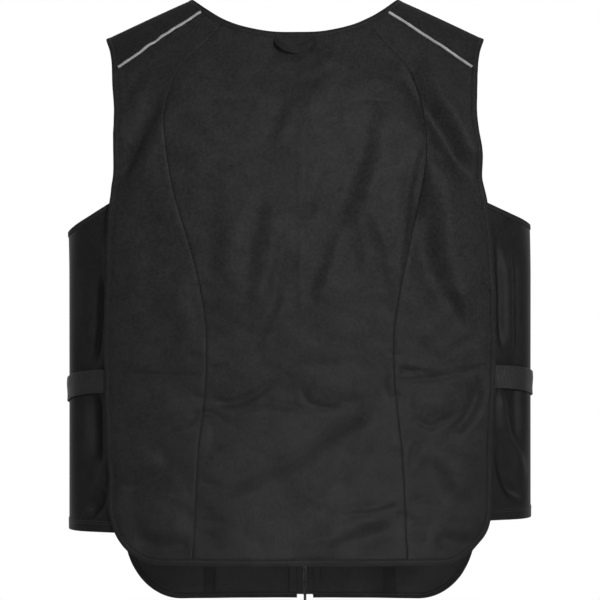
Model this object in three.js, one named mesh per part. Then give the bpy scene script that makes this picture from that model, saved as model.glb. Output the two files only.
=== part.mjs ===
// A sleeveless work vest that keeps its worn form: back, shoulder and front panels with shaped
// seams, stretch side panels, a webbing strap over each side, bound edges and a front zip.
// The vest is hollow and open at the neck, the armholes and the hem.
// Millimetres. +X is the wearer's right, +Y is out of the chest and +Z is up. The origin lies
// midway between the shoulders, at the height where the undersides of the vest rest on them.
import * as THREE from "three";

const { clamp, lerp, smoothstep } = THREE.MathUtils;

// Driving dimensions.
const panelHalfWidth = 207; // the back panel at its widest
const sideReach = 41; // the side panels stand out this far past the back panel
const backDepth = 112; // from the shoulder line back to the shoulder blades
const frontDepth = 114; // from the shoulder line forward to the chest
const neckHalfWidth = 110;
const neckRise = 23; // the neck points stand this far above the origin
const shoulderDrop = 43; // from a neck point down to the shoulder tip
const backNeckDrop = 41; // from the neck points down to the middle of the back neckline
const frontNeckDrop = 118;
const backLength = 601; // from the neck points to the back hem
const frontLength = 656; // from the neck points to the front hem
const neckPower = { back: 2.55, front: 2.2 }; // 2 is a round neckline, more is flatter
const formRoundness = 2.5; // 2 is an ellipse seen from above, more is boxier
const ridgeSoftness = 60; // over which the shoulder line turns at the neck
const armholeDrop = 219; // from the neck points to where the side panels leave the back
const strapDrop = 404; // from the neck points to the straps
const sideHemDrop = 556; // from the neck points to the side hems
const shoulderArch = 110; // height in which the shoulders turn into the upright walls
const backCorner = { width: 56, height: 62 }; // the rounded lower corners of the back
const frontCorner = { width: 63, height: 76 };
const topLean = 5.4; // the shoulders hang this far to the left of the hem
const zipDrift = 5.6; // the foot of the zip hangs this far to the right

const panelThickness = 2.4;
const sideThickness = 1.2;
const strapThickness = 1.6;
const strapWidth = 25;
const bindingWidth = 6;
const bindingThickness = 3;
const sideBindingThickness = 2.6;
const sideHemWidth = 13;
const sideHollow = 7; // the slack side cloth sinks in beside the panel edges
const clearance = 0.4; // between sewn pieces
const cornerWidth = 1.5; // of the pointed panel corners at the neckline
const underlap = 12; // the side panels run this far under the back and front panels
const foldWidth = 20;
const foldRise = 5;
const strapTuck = 10; // the strap ends run this far under the panels
const pipingRadius = 1.7;
const yokeBackDrop = { neck: 24, tip: 44 }; // from the shoulder line to the piping
const yokeFrontDrop = 48; // from the shoulder line to the front yoke seam

const loopHalfWidth = 22;
const loopDrop = 21;
const loopTapeWidth = 9;
const loopEndWidth = 5; // where the tape is pinched under the binding
const loopTapeThickness = 1.6;
const loopStandOff = 9.5; // the tape stands this far off the back, for a hook

const zipChainHalfWidth = 2.6;
const zipChainThickness = 2.6;
const zipOpeningHalf = 9; // the cloth edges stand this far from the zip's middle line
const zipTapeHalf = 14.5;
const zipTapeThickness = 0.8;
const facingHalf = 18; // the inner facings reach this far from the zip's middle line
const facingThickness = 1;
const seamTapeWidth = 11.5;
const seamTapeThickness = 1;
const zipTapeShort = 4; // the tapes end this far above the hem's edge
const zipPin = { width: 3.2, depth: 2.6, below: 4 }; // the zip's foot below the hem
const sliderSize = { width: 9, waist: 7, height: 13, depth: 5.5 };
const pullSize = { width: 6, length: 26, thickness: 1.6 };

// The sides hang a little differently: heights as shares of armholeDrop, sideHemDrop and
// strapDrop, at the edge of the back panel and at the middle of the side.
const sides = [
  { name: "right", sign: 1, armEdge: 1, armMiddle: 1.105, hem: 1, strapEdge: 1, strapMiddle: 1.032 },
  { name: "left", sign: -1, armEdge: 1, armMiddle: 1.142, hem: 1.023, strapEdge: 1.012, strapMiddle: 1.052 },
];

// Depth of the form down its length: down is a share of the back length below the neck points,
// back and front are shares of the back and front depth.
const depthRows = [
  { down: 0, back: 0.68, front: 0.67 },
  { down: 0.07, back: 0.7, front: 0.7 },
  { down: 0.2, back: 0.93, front: 0.86 },
  { down: 0.34, back: 1, front: 0.99 },
  { down: 0.54, back: 0.93, front: 1 },
  { down: 0.69, back: 0.85, front: 0.94 },
  { down: 0.84, back: 0.88, front: 0.93 },
  { down: 1, back: 0.92, front: 0.95 },
];

// Half width of the back panel: down is a share of the back length, out of the panel's half width.
const backEdgeRows = [
  { down: 0.0715, out: 0.983 },
  { down: 0.1, out: 0.952 },
  { down: 0.15, out: 0.934 },
  { down: 0.222, out: 0.927 },
  { down: 0.3, out: 0.942 },
  { down: 0.366, out: 0.967 },
  { down: 0.45, out: 0.984 },
  { down: 0.63, out: 1 },
  { down: 0.78, out: 0.987 },
  { down: 0.9, out: 0.977 },
];

// The shaped seam of the back, from the neckline to the hem.
const backSeamRows = [
  { down: 0.03, out: 0.33 },
  { down: 0.075, out: 0.432 },
  { down: 0.117, out: 0.556 },
  { down: 0.16, out: 0.627 },
  { down: 0.205, out: 0.66 },
  { down: 0.253, out: 0.662 },
  { down: 0.313, out: 0.647 },
  { down: 0.371, out: 0.614 },
  { down: 0.433, out: 0.564 },
  { down: 0.513, out: 0.507 },
  { down: 0.586, out: 0.476 },
  { down: 0.661, out: 0.475 },
  { down: 0.722, out: 0.49 },
  { down: 0.79, out: 0.512 },
  { down: 0.852, out: 0.525 },
  { down: 0.99, out: 0.543 },
];

// Half width of the front panels: down is a share of the front length.
const frontEdgeRows = [
  { down: 0.0657, out: 0.983 },
  { down: 0.104, out: 0.91 },
  { down: 0.157, out: 0.852 },
  { down: 0.219, out: 0.832 },
  { down: 0.28, out: 0.856 },
  { down: 0.335, out: 0.905 },
  { down: 0.402, out: 0.93 },
  { down: 0.647, out: 0.94 },
  { down: 0.875, out: 0.935 },
];

const frontSeamRows = [
  { down: 0.1, out: 0.33 },
  { down: 0.155, out: 0.46 },
  { down: 0.21, out: 0.545 },
  { down: 0.27, out: 0.578 },
  { down: 0.34, out: 0.566 },
  { down: 0.42, out: 0.52 },
  { down: 0.52, out: 0.466 },
  { down: 0.62, out: 0.44 },
  { down: 0.72, out: 0.442 },
  { down: 0.85, out: 0.456 },
  { down: 1, out: 0.462 },
];

// The main folds. Each runs from one point to another, with x as a share of the panel half
// width and down as a share of the back length; width and rise are shares of a fold's size.
const backFolds = [
  { x1: 0.51, down1: 0.12, x2: 0.91, down2: 0.32, width: 0.75, rise: -1 },
  { x1: -0.73, down1: 0.2, x2: -0.93, down2: 0.345, width: 0.7, rise: -1 },
  { x1: -0.61, down1: 0.1, x2: -0.86, down2: 0.19, width: 0.65, rise: -0.6 },
  { x1: 0.23, down1: 0.17, x2: -0.3, down2: 0.52, width: 1.1, rise: 0.6 },
  { x1: 0.51, down1: 0.24, x2: 0.43, down2: 0.47, width: 0.9, rise: 0.8 },
  { x1: 0.33, down1: 0.26, x2: 0.05, down2: 0.43, width: 0.8, rise: -0.6 },
  { x1: -0.45, down1: 0.72, x2: -0.08, down2: 0.698, width: 0.6, rise: -0.8 },
  { x1: 0, down1: 0.726, x2: 0.27, down2: 0.733, width: 0.6, rise: -0.6 },
  { x1: 0.9, down1: 0.71, x2: 0.78, down2: 0.79, width: 0.6, rise: -0.8 },
  { x1: -0.94, down1: 0.847, x2: -0.68, down2: 0.834, width: 0.65, rise: -0.6 },
  { x1: -0.81, down1: 0.947, x2: -0.56, down2: 0.929, width: 0.65, rise: -0.6 },
  { x1: 0, down1: 0.964, x2: 0.51, down2: 0.921, width: 1, rise: -0.6 },
];
const frontFolds = [
  { x1: 0.42, down1: 0.24, x2: 0.8, down2: 0.36, width: 0.9, rise: -0.8 },
  { x1: -0.4, down1: 0.22, x2: -0.8, down2: 0.34, width: 0.9, rise: -0.8 },
  { x1: 0.2, down1: 0.7, x2: 0.85, down2: 0.64, width: 0.8, rise: -0.6 },
  { x1: -0.25, down1: 0.68, x2: -0.85, down2: 0.72, width: 0.8, rise: -0.6 },
];

// Sizes that follow from the driving dimensions.
const quarterTurn = Math.PI / 2;
const formHalfWidth = panelHalfWidth + sideReach;
const backHem = neckRise - backLength;
const frontHem = neckRise - frontLength;
const strapOffset = -(bindingThickness / 2 + clearance + strapThickness / 2);
const strapToSide = strapThickness / 2 + 2 * clearance + sideThickness / 2;
const sideOffset = strapOffset - strapToSide;
const zipTapeOffset = -(panelThickness / 2 + clearance + zipTapeThickness / 2);
const facingOffset = zipTapeOffset - (zipTapeThickness / 2 + clearance + facingThickness / 2);
const seamTapeOffset = -(panelThickness / 2 + clearance + seamTapeThickness / 2);
const seamHalfGap = clearance / 2;

const cloth = (color, roughness, metalness = 0) =>
  new THREE.MeshStandardMaterial({ color, roughness, metalness });
const shellCloth = cloth(0x272727, 0.9);
const stretchCloth = cloth(0x202020, 0.85);
const bindingCloth = cloth(0x2d2d2d, 0.8);
const webbing = cloth(0x303030, 0.85);
const reflective = cloth(0xb4b6b8, 0.45, 0.2);
const zipCloth = cloth(0x1f1f1f, 0.9);
const zipMetal = cloth(0x2a2a2c, 0.35, 0.7);

// A column of a table at a place down it, on a smooth curve through the rows.
function readRows(rows, down, column) {
  const last = rows.length - 1;
  const place = clamp(down, rows[0].down, rows[last].down);
  let i = 0;
  while (i < last - 1 && place > rows[i + 1].down) i += 1;
  const slope = (k) => {
    const before = rows[Math.max(0, k - 1)];
    const after = rows[Math.min(last, k + 1)];
    return (after[column] - before[column]) / (after.down - before.down);
  };
  const span = rows[i + 1].down - rows[i].down;
  const t = (place - rows[i].down) / span;
  const rest = 1 - t;
  return (
    rows[i][column] * rest * rest * (1 + 2 * t) +
    rows[i + 1][column] * t * t * (3 - 2 * t) +
    span * t * rest * (slope(i) * rest - slope(i + 1) * t)
  );
}

// The shoulder line: its height over x, straight along the shoulders and soft at the neck.
const softLength = (x) => Math.hypot(x, ridgeSoftness);
const shoulderTip = backEdgeRows[0].out * panelHalfWidth;
const ridgeSlope = shoulderDrop / (softLength(shoulderTip) - softLength(neckHalfWidth));
const ridgeHeight = (x) => neckRise - ridgeSlope * (softLength(x) - softLength(neckHalfWidth));

// A point of the form is given by x and by a turn s over the shoulder: 0 on the shoulder line,
// negative down the back and positive down the front. Past a quarter turn the wall is upright.
function turnAt(x, z) {
  const down = Math.max(0, ridgeHeight(x) - z);
  if (down < shoulderArch) return Math.acos(1 - down / shoulderArch);
  return quarterTurn + (down - shoulderArch) / shoulderArch;
}

const levelAt = (drop, share) => neckRise - drop * share;
const shareDown = (z) => (neckRise - z) / backLength;
const depthAt = (z, face) =>
  face < 0
    ? backDepth * readRows(depthRows, shareDown(z), "back")
    : frontDepth * readRows(depthRows, shareDown(z), "front");

function roundness(x) {
  const out = Math.min(1, Math.abs(x) / formHalfWidth);
  return (1 - out ** formRoundness) ** (1 / formRoundness);
}

function formPoint(x, s) {
  const turn = Math.abs(s);
  const upright = turn > quarterTurn;
  const down = shoulderArch * (upright ? 1 + turn - quarterTurn : 1 - Math.cos(turn));
  const z = ridgeHeight(x) - down;
  const y = Math.sign(s) * depthAt(z, s) * (upright ? 1 : Math.sin(turn)) * roundness(x);
  return new THREE.Vector3(x, y, z);
}

function formSlopes(x, s) {
  const stepX = 0.5;
  const stepTurn = 0.005;
  return {
    alongX: formPoint(x + stepX, s).sub(formPoint(x - stepX, s)).divideScalar(2 * stepX),
    alongTurn: formPoint(x, s + stepTurn).sub(formPoint(x, s - stepTurn)).divideScalar(2 * stepTurn),
  };
}

function formNormal(x, s) {
  const { alongX, alongTurn } = formSlopes(x, s);
  return alongX.cross(alongTurn).normalize();
}

// Height of the folds at a point: each row is a soft ridge or valley round its line.
function foldHeight(x, z, face) {
  const rows = face < 0 ? backFolds : frontFolds;
  let height = 0;
  for (const row of rows) {
    const from = new THREE.Vector2(row.x1 * panelHalfWidth, neckRise - row.down1 * backLength);
    const to = new THREE.Vector2(row.x2 * panelHalfWidth, neckRise - row.down2 * backLength);
    const along = to.sub(from);
    const place = new THREE.Vector2(x, z).sub(from);
    const t = clamp(place.dot(along) / along.lengthSq(), 0, 1);
    const away = place.sub(along.multiplyScalar(t)).length() / (foldWidth * row.width);
    height += foldRise * row.rise * Math.exp((-away * away) / 2);
  }
  return height;
}

const leanAt = (z) => -topLean * smoothstep(-shareDown(z), -0.5, -0.15);

// A point of the vest: on the form at x and s, moved out by an offset and by the folds there.
function vestPoint(x, s, offset) {
  const point = formPoint(x, s);
  const folds = foldHeight(x, point.z, s) * smoothstep(Math.abs(s), 0.6, 1.3);
  point.addScaledVector(formNormal(x, s), offset + folds);
  point.x += leanAt(point.z);
  return point;
}

// A closed wall over a grid of columns and rows: place gives the outer skin's point for
// skin 1 and the inner skin's for skin -1.
function wallGeometry(columns, rows, place) {
  const positions = [];
  for (const skin of [1, -1])
    for (let j = 0; j <= rows; j += 1)
      for (let i = 0; i <= columns; i += 1) positions.push(...place(i, j, skin).toArray());
  const skinSize = (columns + 1) * (rows + 1);
  const at = (i, j, inner) => j * (columns + 1) + i + (inner ? skinSize : 0);
  const index = [];
  const quad = (a, b, c, d) => index.push(a, b, c, a, c, d);
  for (let j = 0; j < rows; j += 1)
    for (let i = 0; i < columns; i += 1) {
      quad(at(i, j), at(i + 1, j), at(i + 1, j + 1), at(i, j + 1));
      quad(at(i, j, true), at(i, j + 1, true), at(i + 1, j + 1, true), at(i + 1, j, true));
    }
  for (let i = 0; i < columns; i += 1) {
    quad(at(i, 0), at(i, 0, true), at(i + 1, 0, true), at(i + 1, 0));
    quad(at(i, rows), at(i + 1, rows), at(i + 1, rows, true), at(i, rows, true));
  }
  for (let j = 0; j < rows; j += 1) {
    quad(at(0, j), at(0, j + 1), at(0, j + 1, true), at(0, j, true));
    quad(at(columns, j), at(columns, j, true), at(columns, j + 1, true), at(columns, j + 1));
  }
  if (signedVolume(positions, index) < 0) index.reverse();
  const geometry = new THREE.BufferGeometry();
  geometry.setAttribute("position", new THREE.Float32BufferAttribute(positions, 3));
  geometry.setIndex(index);
  geometry.computeVertexNormals();
  return geometry;
}

function signedVolume(positions, index) {
  const corner = (k) => new THREE.Vector3().fromArray(positions, 3 * index[k]);
  let volume = 0;
  for (let k = 0; k < index.length; k += 3)
    volume += corner(k).dot(corner(k + 1).cross(corner(k + 2))) / 6;
  return volume;
}

const vest = new THREE.Group();
function addPiece(name, geometry, material) {
  const mesh = new THREE.Mesh(geometry, material);
  mesh.name = name;
  vest.add(mesh);
}

// Pattern curves are lists of { x, s } on the wearer's right, and mirrored for the left.
const patternPoint = (x, z, face) => ({ x, s: Math.sign(face) * turnAt(x, z) });
const heightOf = (point) => formPoint(point.x, point.s).z;

// A curve moved along the form by a distance, square to its own run.
function shifted(curve, distance) {
  return curve.map((point, k) => {
    const before = curve[Math.max(0, k - 1)];
    const after = curve[Math.min(curve.length - 1, k + 1)];
    const { alongX, alongTurn } = formSlopes(point.x, point.s);
    const run = alongX.clone().multiplyScalar(after.x - before.x);
    run.addScaledVector(alongTurn, after.s - before.s);
    const way = formNormal(point.x, point.s).cross(run).normalize().multiplyScalar(distance);
    const [xx, xs, ss] = [alongX.dot(alongX), alongX.dot(alongTurn), alongTurn.dot(alongTurn)];
    const [wx, ws] = [way.dot(alongX), way.dot(alongTurn)];
    const scale = xx * ss - xs * xs;
    return { x: point.x + (wx * ss - ws * xs) / scale, s: point.s + (ws * xx - wx * xs) / scale };
  });
}

// Where a curve passes a value of one of its columns, read between its points.
function passing(curve, column, value) {
  let k = 0;
  const rising = curve[curve.length - 1][column] > curve[0][column];
  while (k < curve.length - 2 && curve[k + 1][column] < value === rising) k += 1;
  const t = (value - curve[k][column]) / (curve[k + 1][column] - curve[k][column]);
  return { x: lerp(curve[k].x, curve[k + 1].x, t), s: lerp(curve[k].s, curve[k + 1].s, t) };
}

const steps = (count) => Array.from({ length: count + 1 }, (_, k) => k / count);
const mirrored = (curve) => [
  ...curve.slice(1).reverse().map(({ x, s }) => ({ x: -x, s })),
  ...curve,
];

// The neckline, from the middle of the back over the shoulder to the middle of the front.
function neckHeight(x, face) {
  const drop = face < 0 ? backNeckDrop : frontNeckDrop;
  const power = face < 0 ? neckPower.back : neckPower.front;
  return neckRise - drop * (1 - (Math.abs(x) / neckHalfWidth) ** power);
}
const neckCurve = steps(32).map((t) => {
  const x = neckHalfWidth * Math.sin(Math.PI * t);
  return patternPoint(x, neckHeight(x, t - 0.5), t < 0.5 ? -1 : 1);
});
const neckInset = shifted(neckCurve, -(bindingWidth + 1.5 * clearance));

// The free edges of the back and of the front, read from their tables.
const backEdge = (z) => panelHalfWidth * readRows(backEdgeRows, shareDown(z), "out");
const frontShare = (z) => (neckRise - z) / frontLength;
const frontEdge = (z) => panelHalfWidth * readRows(frontEdgeRows, frontShare(z), "out");
const backSeam = (z) => panelHalfWidth * readRows(backSeamRows, shareDown(z), "out");
const frontSeam = (z) => panelHalfWidth * readRows(frontSeamRows, frontShare(z), "out");

// The outer edge of a yoke at a turn s: the armhole edge's x at the height that s gives there.
function yokeTip(s) {
  let x = shoulderTip;
  for (let k = 0; k < 12; k += 1) {
    const z = formPoint(x, s).z;
    x = s < 0 ? backEdge(z) : frontEdge(z);
  }
  return x;
}

// The piping and the front yoke seam are lines over x at their drops below the shoulder line.
const turnForDrop = (drop) => Math.acos(1 - drop / shoulderArch);
function yokeBackTurn(x) {
  const out = clamp((x - neckHalfWidth) / (shoulderTip - neckHalfWidth), -0.2, 1);
  return -turnForDrop(lerp(yokeBackDrop.neck, yokeBackDrop.tip, out));
}
const yokeFrontTurn = turnForDrop(yokeFrontDrop);
function pipingEnd() {
  let x = shoulderTip;
  for (let k = 0; k < 12; k += 1) x = yokeTip(yokeBackTurn(x));
  return x;
}
const pipingTipX = pipingEnd();
function pipingNeck() {
  let x = neckHalfWidth;
  for (let k = 0; k < 24; k += 1) x = lerp(x, passing(neckInset.slice(0, 17), "s", yokeBackTurn(x)).x, 0.5);
  return x;
}
const pipingNeckX = pipingNeck();
const pipingCurve = steps(12).map((t) => {
  const x = lerp(pipingNeckX, pipingTipX - bindingWidth - clearance, t);
  return { x, s: yokeBackTurn(x) };
});
const pipingHalfGap = pipingRadius + clearance;

// The lower outline of a panel: down its edge, round the corner and along the hem to inner x.
function edgeCurve({ edge, top, hem, corner, inner, face, edgeSteps, hemSteps }) {
  const cornerTop = hem + corner.height;
  const foot = edge(cornerTop);
  const sideLine = steps(edgeSteps).map((t) => {
    const z = lerp(top, cornerTop, t);
    return patternPoint(edge(z), z, face);
  });
  const bend = steps(6).slice(1).map((t) => {
    const turn = t * quarterTurn;
    const x = foot - corner.width * (1 - Math.cos(turn));
    return patternPoint(x, cornerTop - corner.height * Math.sin(turn), face);
  });
  const hemLine = steps(hemSteps).slice(1).map((t) => {
    return patternPoint(lerp(foot - corner.width, inner, t), hem, face);
  });
  return { curve: [...sideLine, ...bend, ...hemLine], cornerEnd: edgeSteps + 6 };
}

const pipingTipZ = heightOf({ x: pipingTipX, s: yokeBackTurn(pipingTipX) });
const backOutline = edgeCurve({
  edge: backEdge, top: pipingTipZ, hem: backHem, corner: backCorner, inner: 0,
  face: -1, edgeSteps: 15, hemSteps: 5,
});
const backInset = shifted(backOutline.curve, -(bindingWidth + clearance));

// The seam between two panels starts where it leaves the bound neckline.
function seamStart(seam, inset) {
  let z = heightOf(inset[0]);
  for (let k = 0; k < 40; k += 1) z = lerp(z, heightOf(passing(inset, "x", seam(z))), 0.5);
  return z;
}
const backNeckInset = neckInset.slice(0, 15);
const backSeamTop = seamStart(backSeam, backNeckInset);

// Rows of the back: each has a point on the seam side and one on the outer edge.
const cornerRows = backInset.slice(0, backOutline.cornerEnd + 1);
const pipingLower = shifted(pipingCurve, -pipingHalfGap);
const backRows = [
  ...[0, 0.5].map((t) => {
    const x = lerp(pipingLower[0].x - cornerWidth, backSeam(backSeamTop), t);
    return { seam: passing(backNeckInset, "x", x), outer: pipingLower[Math.round(t * 4)] };
  }),
  ...[4, 6, 8, 10, 12].map((k, row) => {
    const z = lerp(backSeamTop, heightOf(pipingLower[12]), row / 4);
    return { seam: patternPoint(backSeam(z) + seamHalfGap, z, -1), outer: pipingLower[k] };
  }),
  ...cornerRows.slice(1).map((outer) => {
    const z = heightOf(outer);
    return { seam: patternPoint(backSeam(z) + seamHalfGap, z, -1), outer };
  }),
];
const backSeamHeights = backRows.slice(2).map((row) => heightOf(row.seam));

const skinOffset = (thickness, skin) => (skin * thickness) / 2;

// A panel whose rows run from the seam side to the outer edge, for one side.
function sidewaysPanel(rows, columns, sign) {
  return wallGeometry(columns, rows.length - 1, (i, j, skin) => {
    const t = i / columns;
    const { seam, outer } = rows[j];
    const x = lerp(seam.x, outer.x, t);
    const z = lerp(heightOf(seam), heightOf(outer), t);
    const face = Math.sign(seam.s);
    return vestPoint(sign * x, patternPoint(x, z, face).s, skinOffset(panelThickness, skin));
  });
}

// The middle of the back: its top follows the neckline and its sides the two seams.
function backCentre() {
  const columns = 12;
  const fadeRows = 6;
  return wallGeometry(columns, backSeamHeights.length - 1, (i, j, skin) => {
    const out = lerp(-1, 1, i / columns);
    const x = out * (backSeam(backSeamHeights[j]) - seamHalfGap);
    const neckZ = heightOf(passing(backNeckInset, "x", Math.abs(out) * backSeam(backSeamTop)));
    const dip = (backSeamTop - neckZ) * Math.max(0, 1 - j / fadeRows);
    return vestPoint(x, patternPoint(x, backSeamHeights[j] - dip, -1).s, skinOffset(panelThickness, skin));
  });
}

// A shoulder yoke runs over the shoulder line, from the piping to the front yoke seam.
const yokeBackEdge = shifted(pipingCurve, pipingHalfGap);
const tipCurve = steps(24).map((t) => {
  const s = lerp(yokeBackTurn(pipingTipX), yokeFrontTurn, t);
  return { x: yokeTip(s), s };
});
const tipInset = shifted(tipCurve, bindingWidth + clearance);
function yoke(sign) {
  const [columns, rows] = [6, 12];
  const frontTurn = yokeFrontTurn - seamHalfGap / shoulderArch;
  const turnOn = (point, t) => lerp(point.s, frontTurn, t);
  return wallGeometry(columns, rows, (i, j, skin) => {
    const t = j / rows;
    const neck = passing(neckInset.slice(8, 26), "s", turnOn(yokeBackEdge[0], t));
    const tip = passing(tipInset, "s", turnOn(yokeBackEdge[12], t));
    const x = lerp(neck.x, tip.x, i / columns);
    const s = turnOn(passing(yokeBackEdge, "x", x), t);
    return vestPoint(sign * x, s, skinOffset(panelThickness, skin));
  });
}

// The front panels hang from the yoke seam; the zip parts them in the middle.
const frontTopZ = heightOf({ x: yokeTip(yokeFrontTurn), s: yokeFrontTurn });
const frontOutline = edgeCurve({
  edge: frontEdge, top: frontTopZ, hem: frontHem, corner: frontCorner, inner: zipOpeningHalf,
  face: 1, edgeSteps: 14, hemSteps: 5,
});
const frontInset = shifted(frontOutline.curve, bindingWidth + clearance);
const frontNeckInset = neckInset.slice(18);
const frontSeamTop = seamStart(frontSeam, frontNeckInset.slice().reverse());
const yokeSeamNeck = passing(neckInset.slice(16), "s", yokeFrontTurn);
const frontCornerRows = frontInset.slice(0, frontOutline.cornerEnd + 1);
const frontSeamSide = (z) => patternPoint(frontSeam(z) + seamHalfGap, z, 1);
const yokeSeamPoint = (x) => ({ x, s: yokeFrontTurn + seamHalfGap / shoulderArch });
const frontRows = [
  ...[0, 0.3, 0.65].map((t) => {
    const x = lerp(yokeSeamNeck.x - cornerWidth, frontSeam(frontSeamTop), t);
    return {
      seam: passing(frontNeckInset, "x", x),
      outer: yokeSeamPoint(lerp(yokeSeamNeck.x + cornerWidth, frontCornerRows[0].x, t)),
    };
  }),
  { seam: frontSeamSide(frontSeamTop), outer: yokeSeamPoint(frontCornerRows[0].x) },
  ...frontCornerRows.slice(1).map((outer, k) => {
    const z = Math.min(heightOf(outer), lerp(frontSeamTop, heightOf(frontCornerRows[6]), (k + 1) / 6));
    return { seam: frontSeamSide(k < 6 ? z : heightOf(outer)), outer };
  }),
];
const frontSeamHeights = frontRows.slice(3).map((row) => heightOf(row.seam));

// How far the zip's middle line lies to the right at a height.
const zipTop = heightOf(neckInset[neckInset.length - 1]);
const zipMiddle = (z) => zipDrift * clamp((zipTop - z) / (zipTop - frontHem), 0, 1);

function frontCentre(sign) {
  const columns = 6;
  const fadeRows = 7;
  return wallGeometry(columns, frontSeamHeights.length - 1, (i, j, skin) => {
    const out = i / columns;
    const neckX = lerp(zipOpeningHalf, frontSeam(frontSeamTop), out);
    const neckZ = heightOf(passing(frontNeckInset, "x", neckX));
    const dip = (frontSeamTop - neckZ) * Math.max(0, 1 - j / fadeRows);
    const z = frontSeamHeights[j] - dip;
    const inner = zipOpeningHalf + sign * zipMiddle(z);
    const x = lerp(inner, frontSeam(frontSeamHeights[j]) - seamHalfGap, out);
    return vestPoint(sign * x, patternPoint(x, z, 1).s, skinOffset(panelThickness, skin));
  });
}

// A flat band along a curve of the form, between the curve and a second one beside it.
function bandGeometry(curve, beside) {
  return wallGeometry(1, curve.length - 1, (i, j, skin) => {
    const { x, s } = (i ? beside : curve)[j];
    return vestPoint(x, s, skinOffset(bindingThickness, skin));
  });
}
const turnedTo = (curve, sign) => curve.map(({ x, s }) => ({ x: sign * x, s }));

// Bindings: the neck in one piece from zip to zip, the back in one from yoke to yoke, and one
// on each side over the shoulder tip, down the front armhole and edge and along the front hem.
const neckInner = shifted(neckCurve, -bindingWidth);
const neckEnd = zipChainHalfWidth + clearance;
const clipToZip = (curve) => [
  ...curve.filter((point) => point.s < 0 || point.x > neckEnd),
  passing(curve.slice(-8), "x", neckEnd),
];
const backInner = shifted(backOutline.curve, -bindingWidth);
const frontBindingCurve = [...tipCurve.slice(0, -1).filter((_, k) => k % 2 === 0), ...frontOutline.curve];
const frontBindingInner = shifted(frontBindingCurve, bindingWidth);
// The edge of a front hem follows the zip's own line.
const followZip = (curve, sign) =>
  curve.map(({ x, s }) => {
    const z = heightOf({ x, s });
    const near = clamp((frontSeam(z) - x) / (frontSeam(z) - zipOpeningHalf), 0, 1);
    return s > quarterTurn ? patternPoint(x + sign * zipMiddle(z) * near, z, 1) : { x, s };
  });

// Side panels: the upright wall in plan is a rounded box, met at an angle from its middle.
const sideColumns = 16;
const angleOf = (x) => Math.acos(clamp(x / formHalfWidth, 0, 1) ** (formRoundness / 2));
function sidePoint(side, angle, z, offset) {
  const power = 2 / formRoundness;
  const depth = depthAt(z, angle);
  const [along, across] = [Math.cos(angle), Math.sin(angle)];
  const x = formHalfWidth * along ** power;
  const y = depth * Math.sign(across) * Math.abs(across) ** power;
  const normal = new THREE.Vector3(
    along ** (2 - power) / formHalfWidth,
    (Math.sign(across) * Math.abs(across) ** (2 - power)) / depth,
    0,
  ).normalize();
  const folds = foldHeight(side.sign * x, z, angle);
  const point = new THREE.Vector3(x, y, z).addScaledVector(normal, offset + folds);
  point.x = side.sign * point.x + leanAt(point.z);
  return point;
}

// How near an angle is to the panel that overlaps it: 0 at the side's middle, 1 at that edge.
const edgeAngle = (angle, z, tuck) =>
  angle < 0 ? angleOf(backEdge(z) - tuck) : angleOf(frontEdge(z) - tuck);
const towardsEdge = (angle, z) => Math.abs(angle) / edgeAngle(angle, z, 0);
const tuckedOffset = (near, edgeOffset, middleOffset) =>
  lerp(middleOffset, edgeOffset, smoothstep(near, 0.45, 0.95));
function sideCloth(near, down) {
  const sink = Math.exp(-(((near - 0.66) / 0.2) ** 2)) * smoothstep(down, 0, 0.15);
  return tuckedOffset(near, sideOffset, 0) - sideHollow * sink * (1 - smoothstep(down, 0.9, 1));
}

// The armhole edge of a side panel dips from both overlapping panels to the side's middle.
function armholeHeight(side, angle) {
  const edgeTop = levelAt(armholeDrop, side.armEdge);
  const middleTop = levelAt(armholeDrop, side.armMiddle);
  const edge = edgeAngle(angle, edgeTop, 0);
  const [outer, inner] = [formHalfWidth, formHalfWidth * Math.cos(edge) ** (2 / formRoundness)];
  const x = formHalfWidth * Math.cos(angle) ** (2 / formRoundness);
  return lerp(edgeTop, middleTop, clamp((x - inner) / (outer - inner), 0, 1));
}

// A band of a side panel between two heights, each given by the armhole edge's height above it.
function sideWall({ side, rows, high, low, thickness }) {
  const edgeTop = levelAt(armholeDrop, side.armEdge);
  return wallGeometry(sideColumns, rows, (i, j, skin) => {
    const across = lerp(-1, 1, i / sideColumns);
    const top = armholeHeight(side, across * edgeAngle(across, edgeTop, underlap));
    const z = lerp(high(top), low(top), j / rows);
    const angle = across * edgeAngle(across, z, underlap);
    const share = clamp((top - z) / (top - levelAt(sideHemDrop, side.hem)), 0, 1);
    const offset = sideCloth(towardsEdge(angle, z), share) + skinOffset(thickness, skin);
    return sidePoint(side, angle, z, offset);
  });
}

// A strap bridges the hollows of the side cloth, drooping towards the side and the front.
function strap(side) {
  return wallGeometry(1, sideColumns, (i, j, skin) => {
    const across = lerp(-1, 1, j / sideColumns);
    const droop = smoothstep(across, -0.9, 0.5);
    const middle = levelAt(strapDrop, lerp(side.strapEdge, side.strapMiddle, droop));
    const z = middle + lerp(strapWidth / 2, -strapWidth / 2, i);
    const angle = across * edgeAngle(across, middle, strapTuck);
    const near = towardsEdge(angle, middle);
    const offset = tuckedOffset(near, strapOffset, strapToSide) + skinOffset(strapThickness, skin);
    return sidePoint(side, angle, z, offset);
  });
}

// A strip that follows the zip from the neck binding to the hem, between two distances from it.
function zipStrip({ inner, outer, top, bottom, thickness, offset, sign }) {
  const rows = 18;
  return wallGeometry(1, rows, (i, j, skin) => {
    const z = lerp(top, bottom, j / rows);
    const x = zipMiddle(z) + sign * lerp(inner, outer, i);
    return vestPoint(x, patternPoint(x, z, 1).s, offset + skinOffset(thickness, skin));
  });
}

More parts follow.
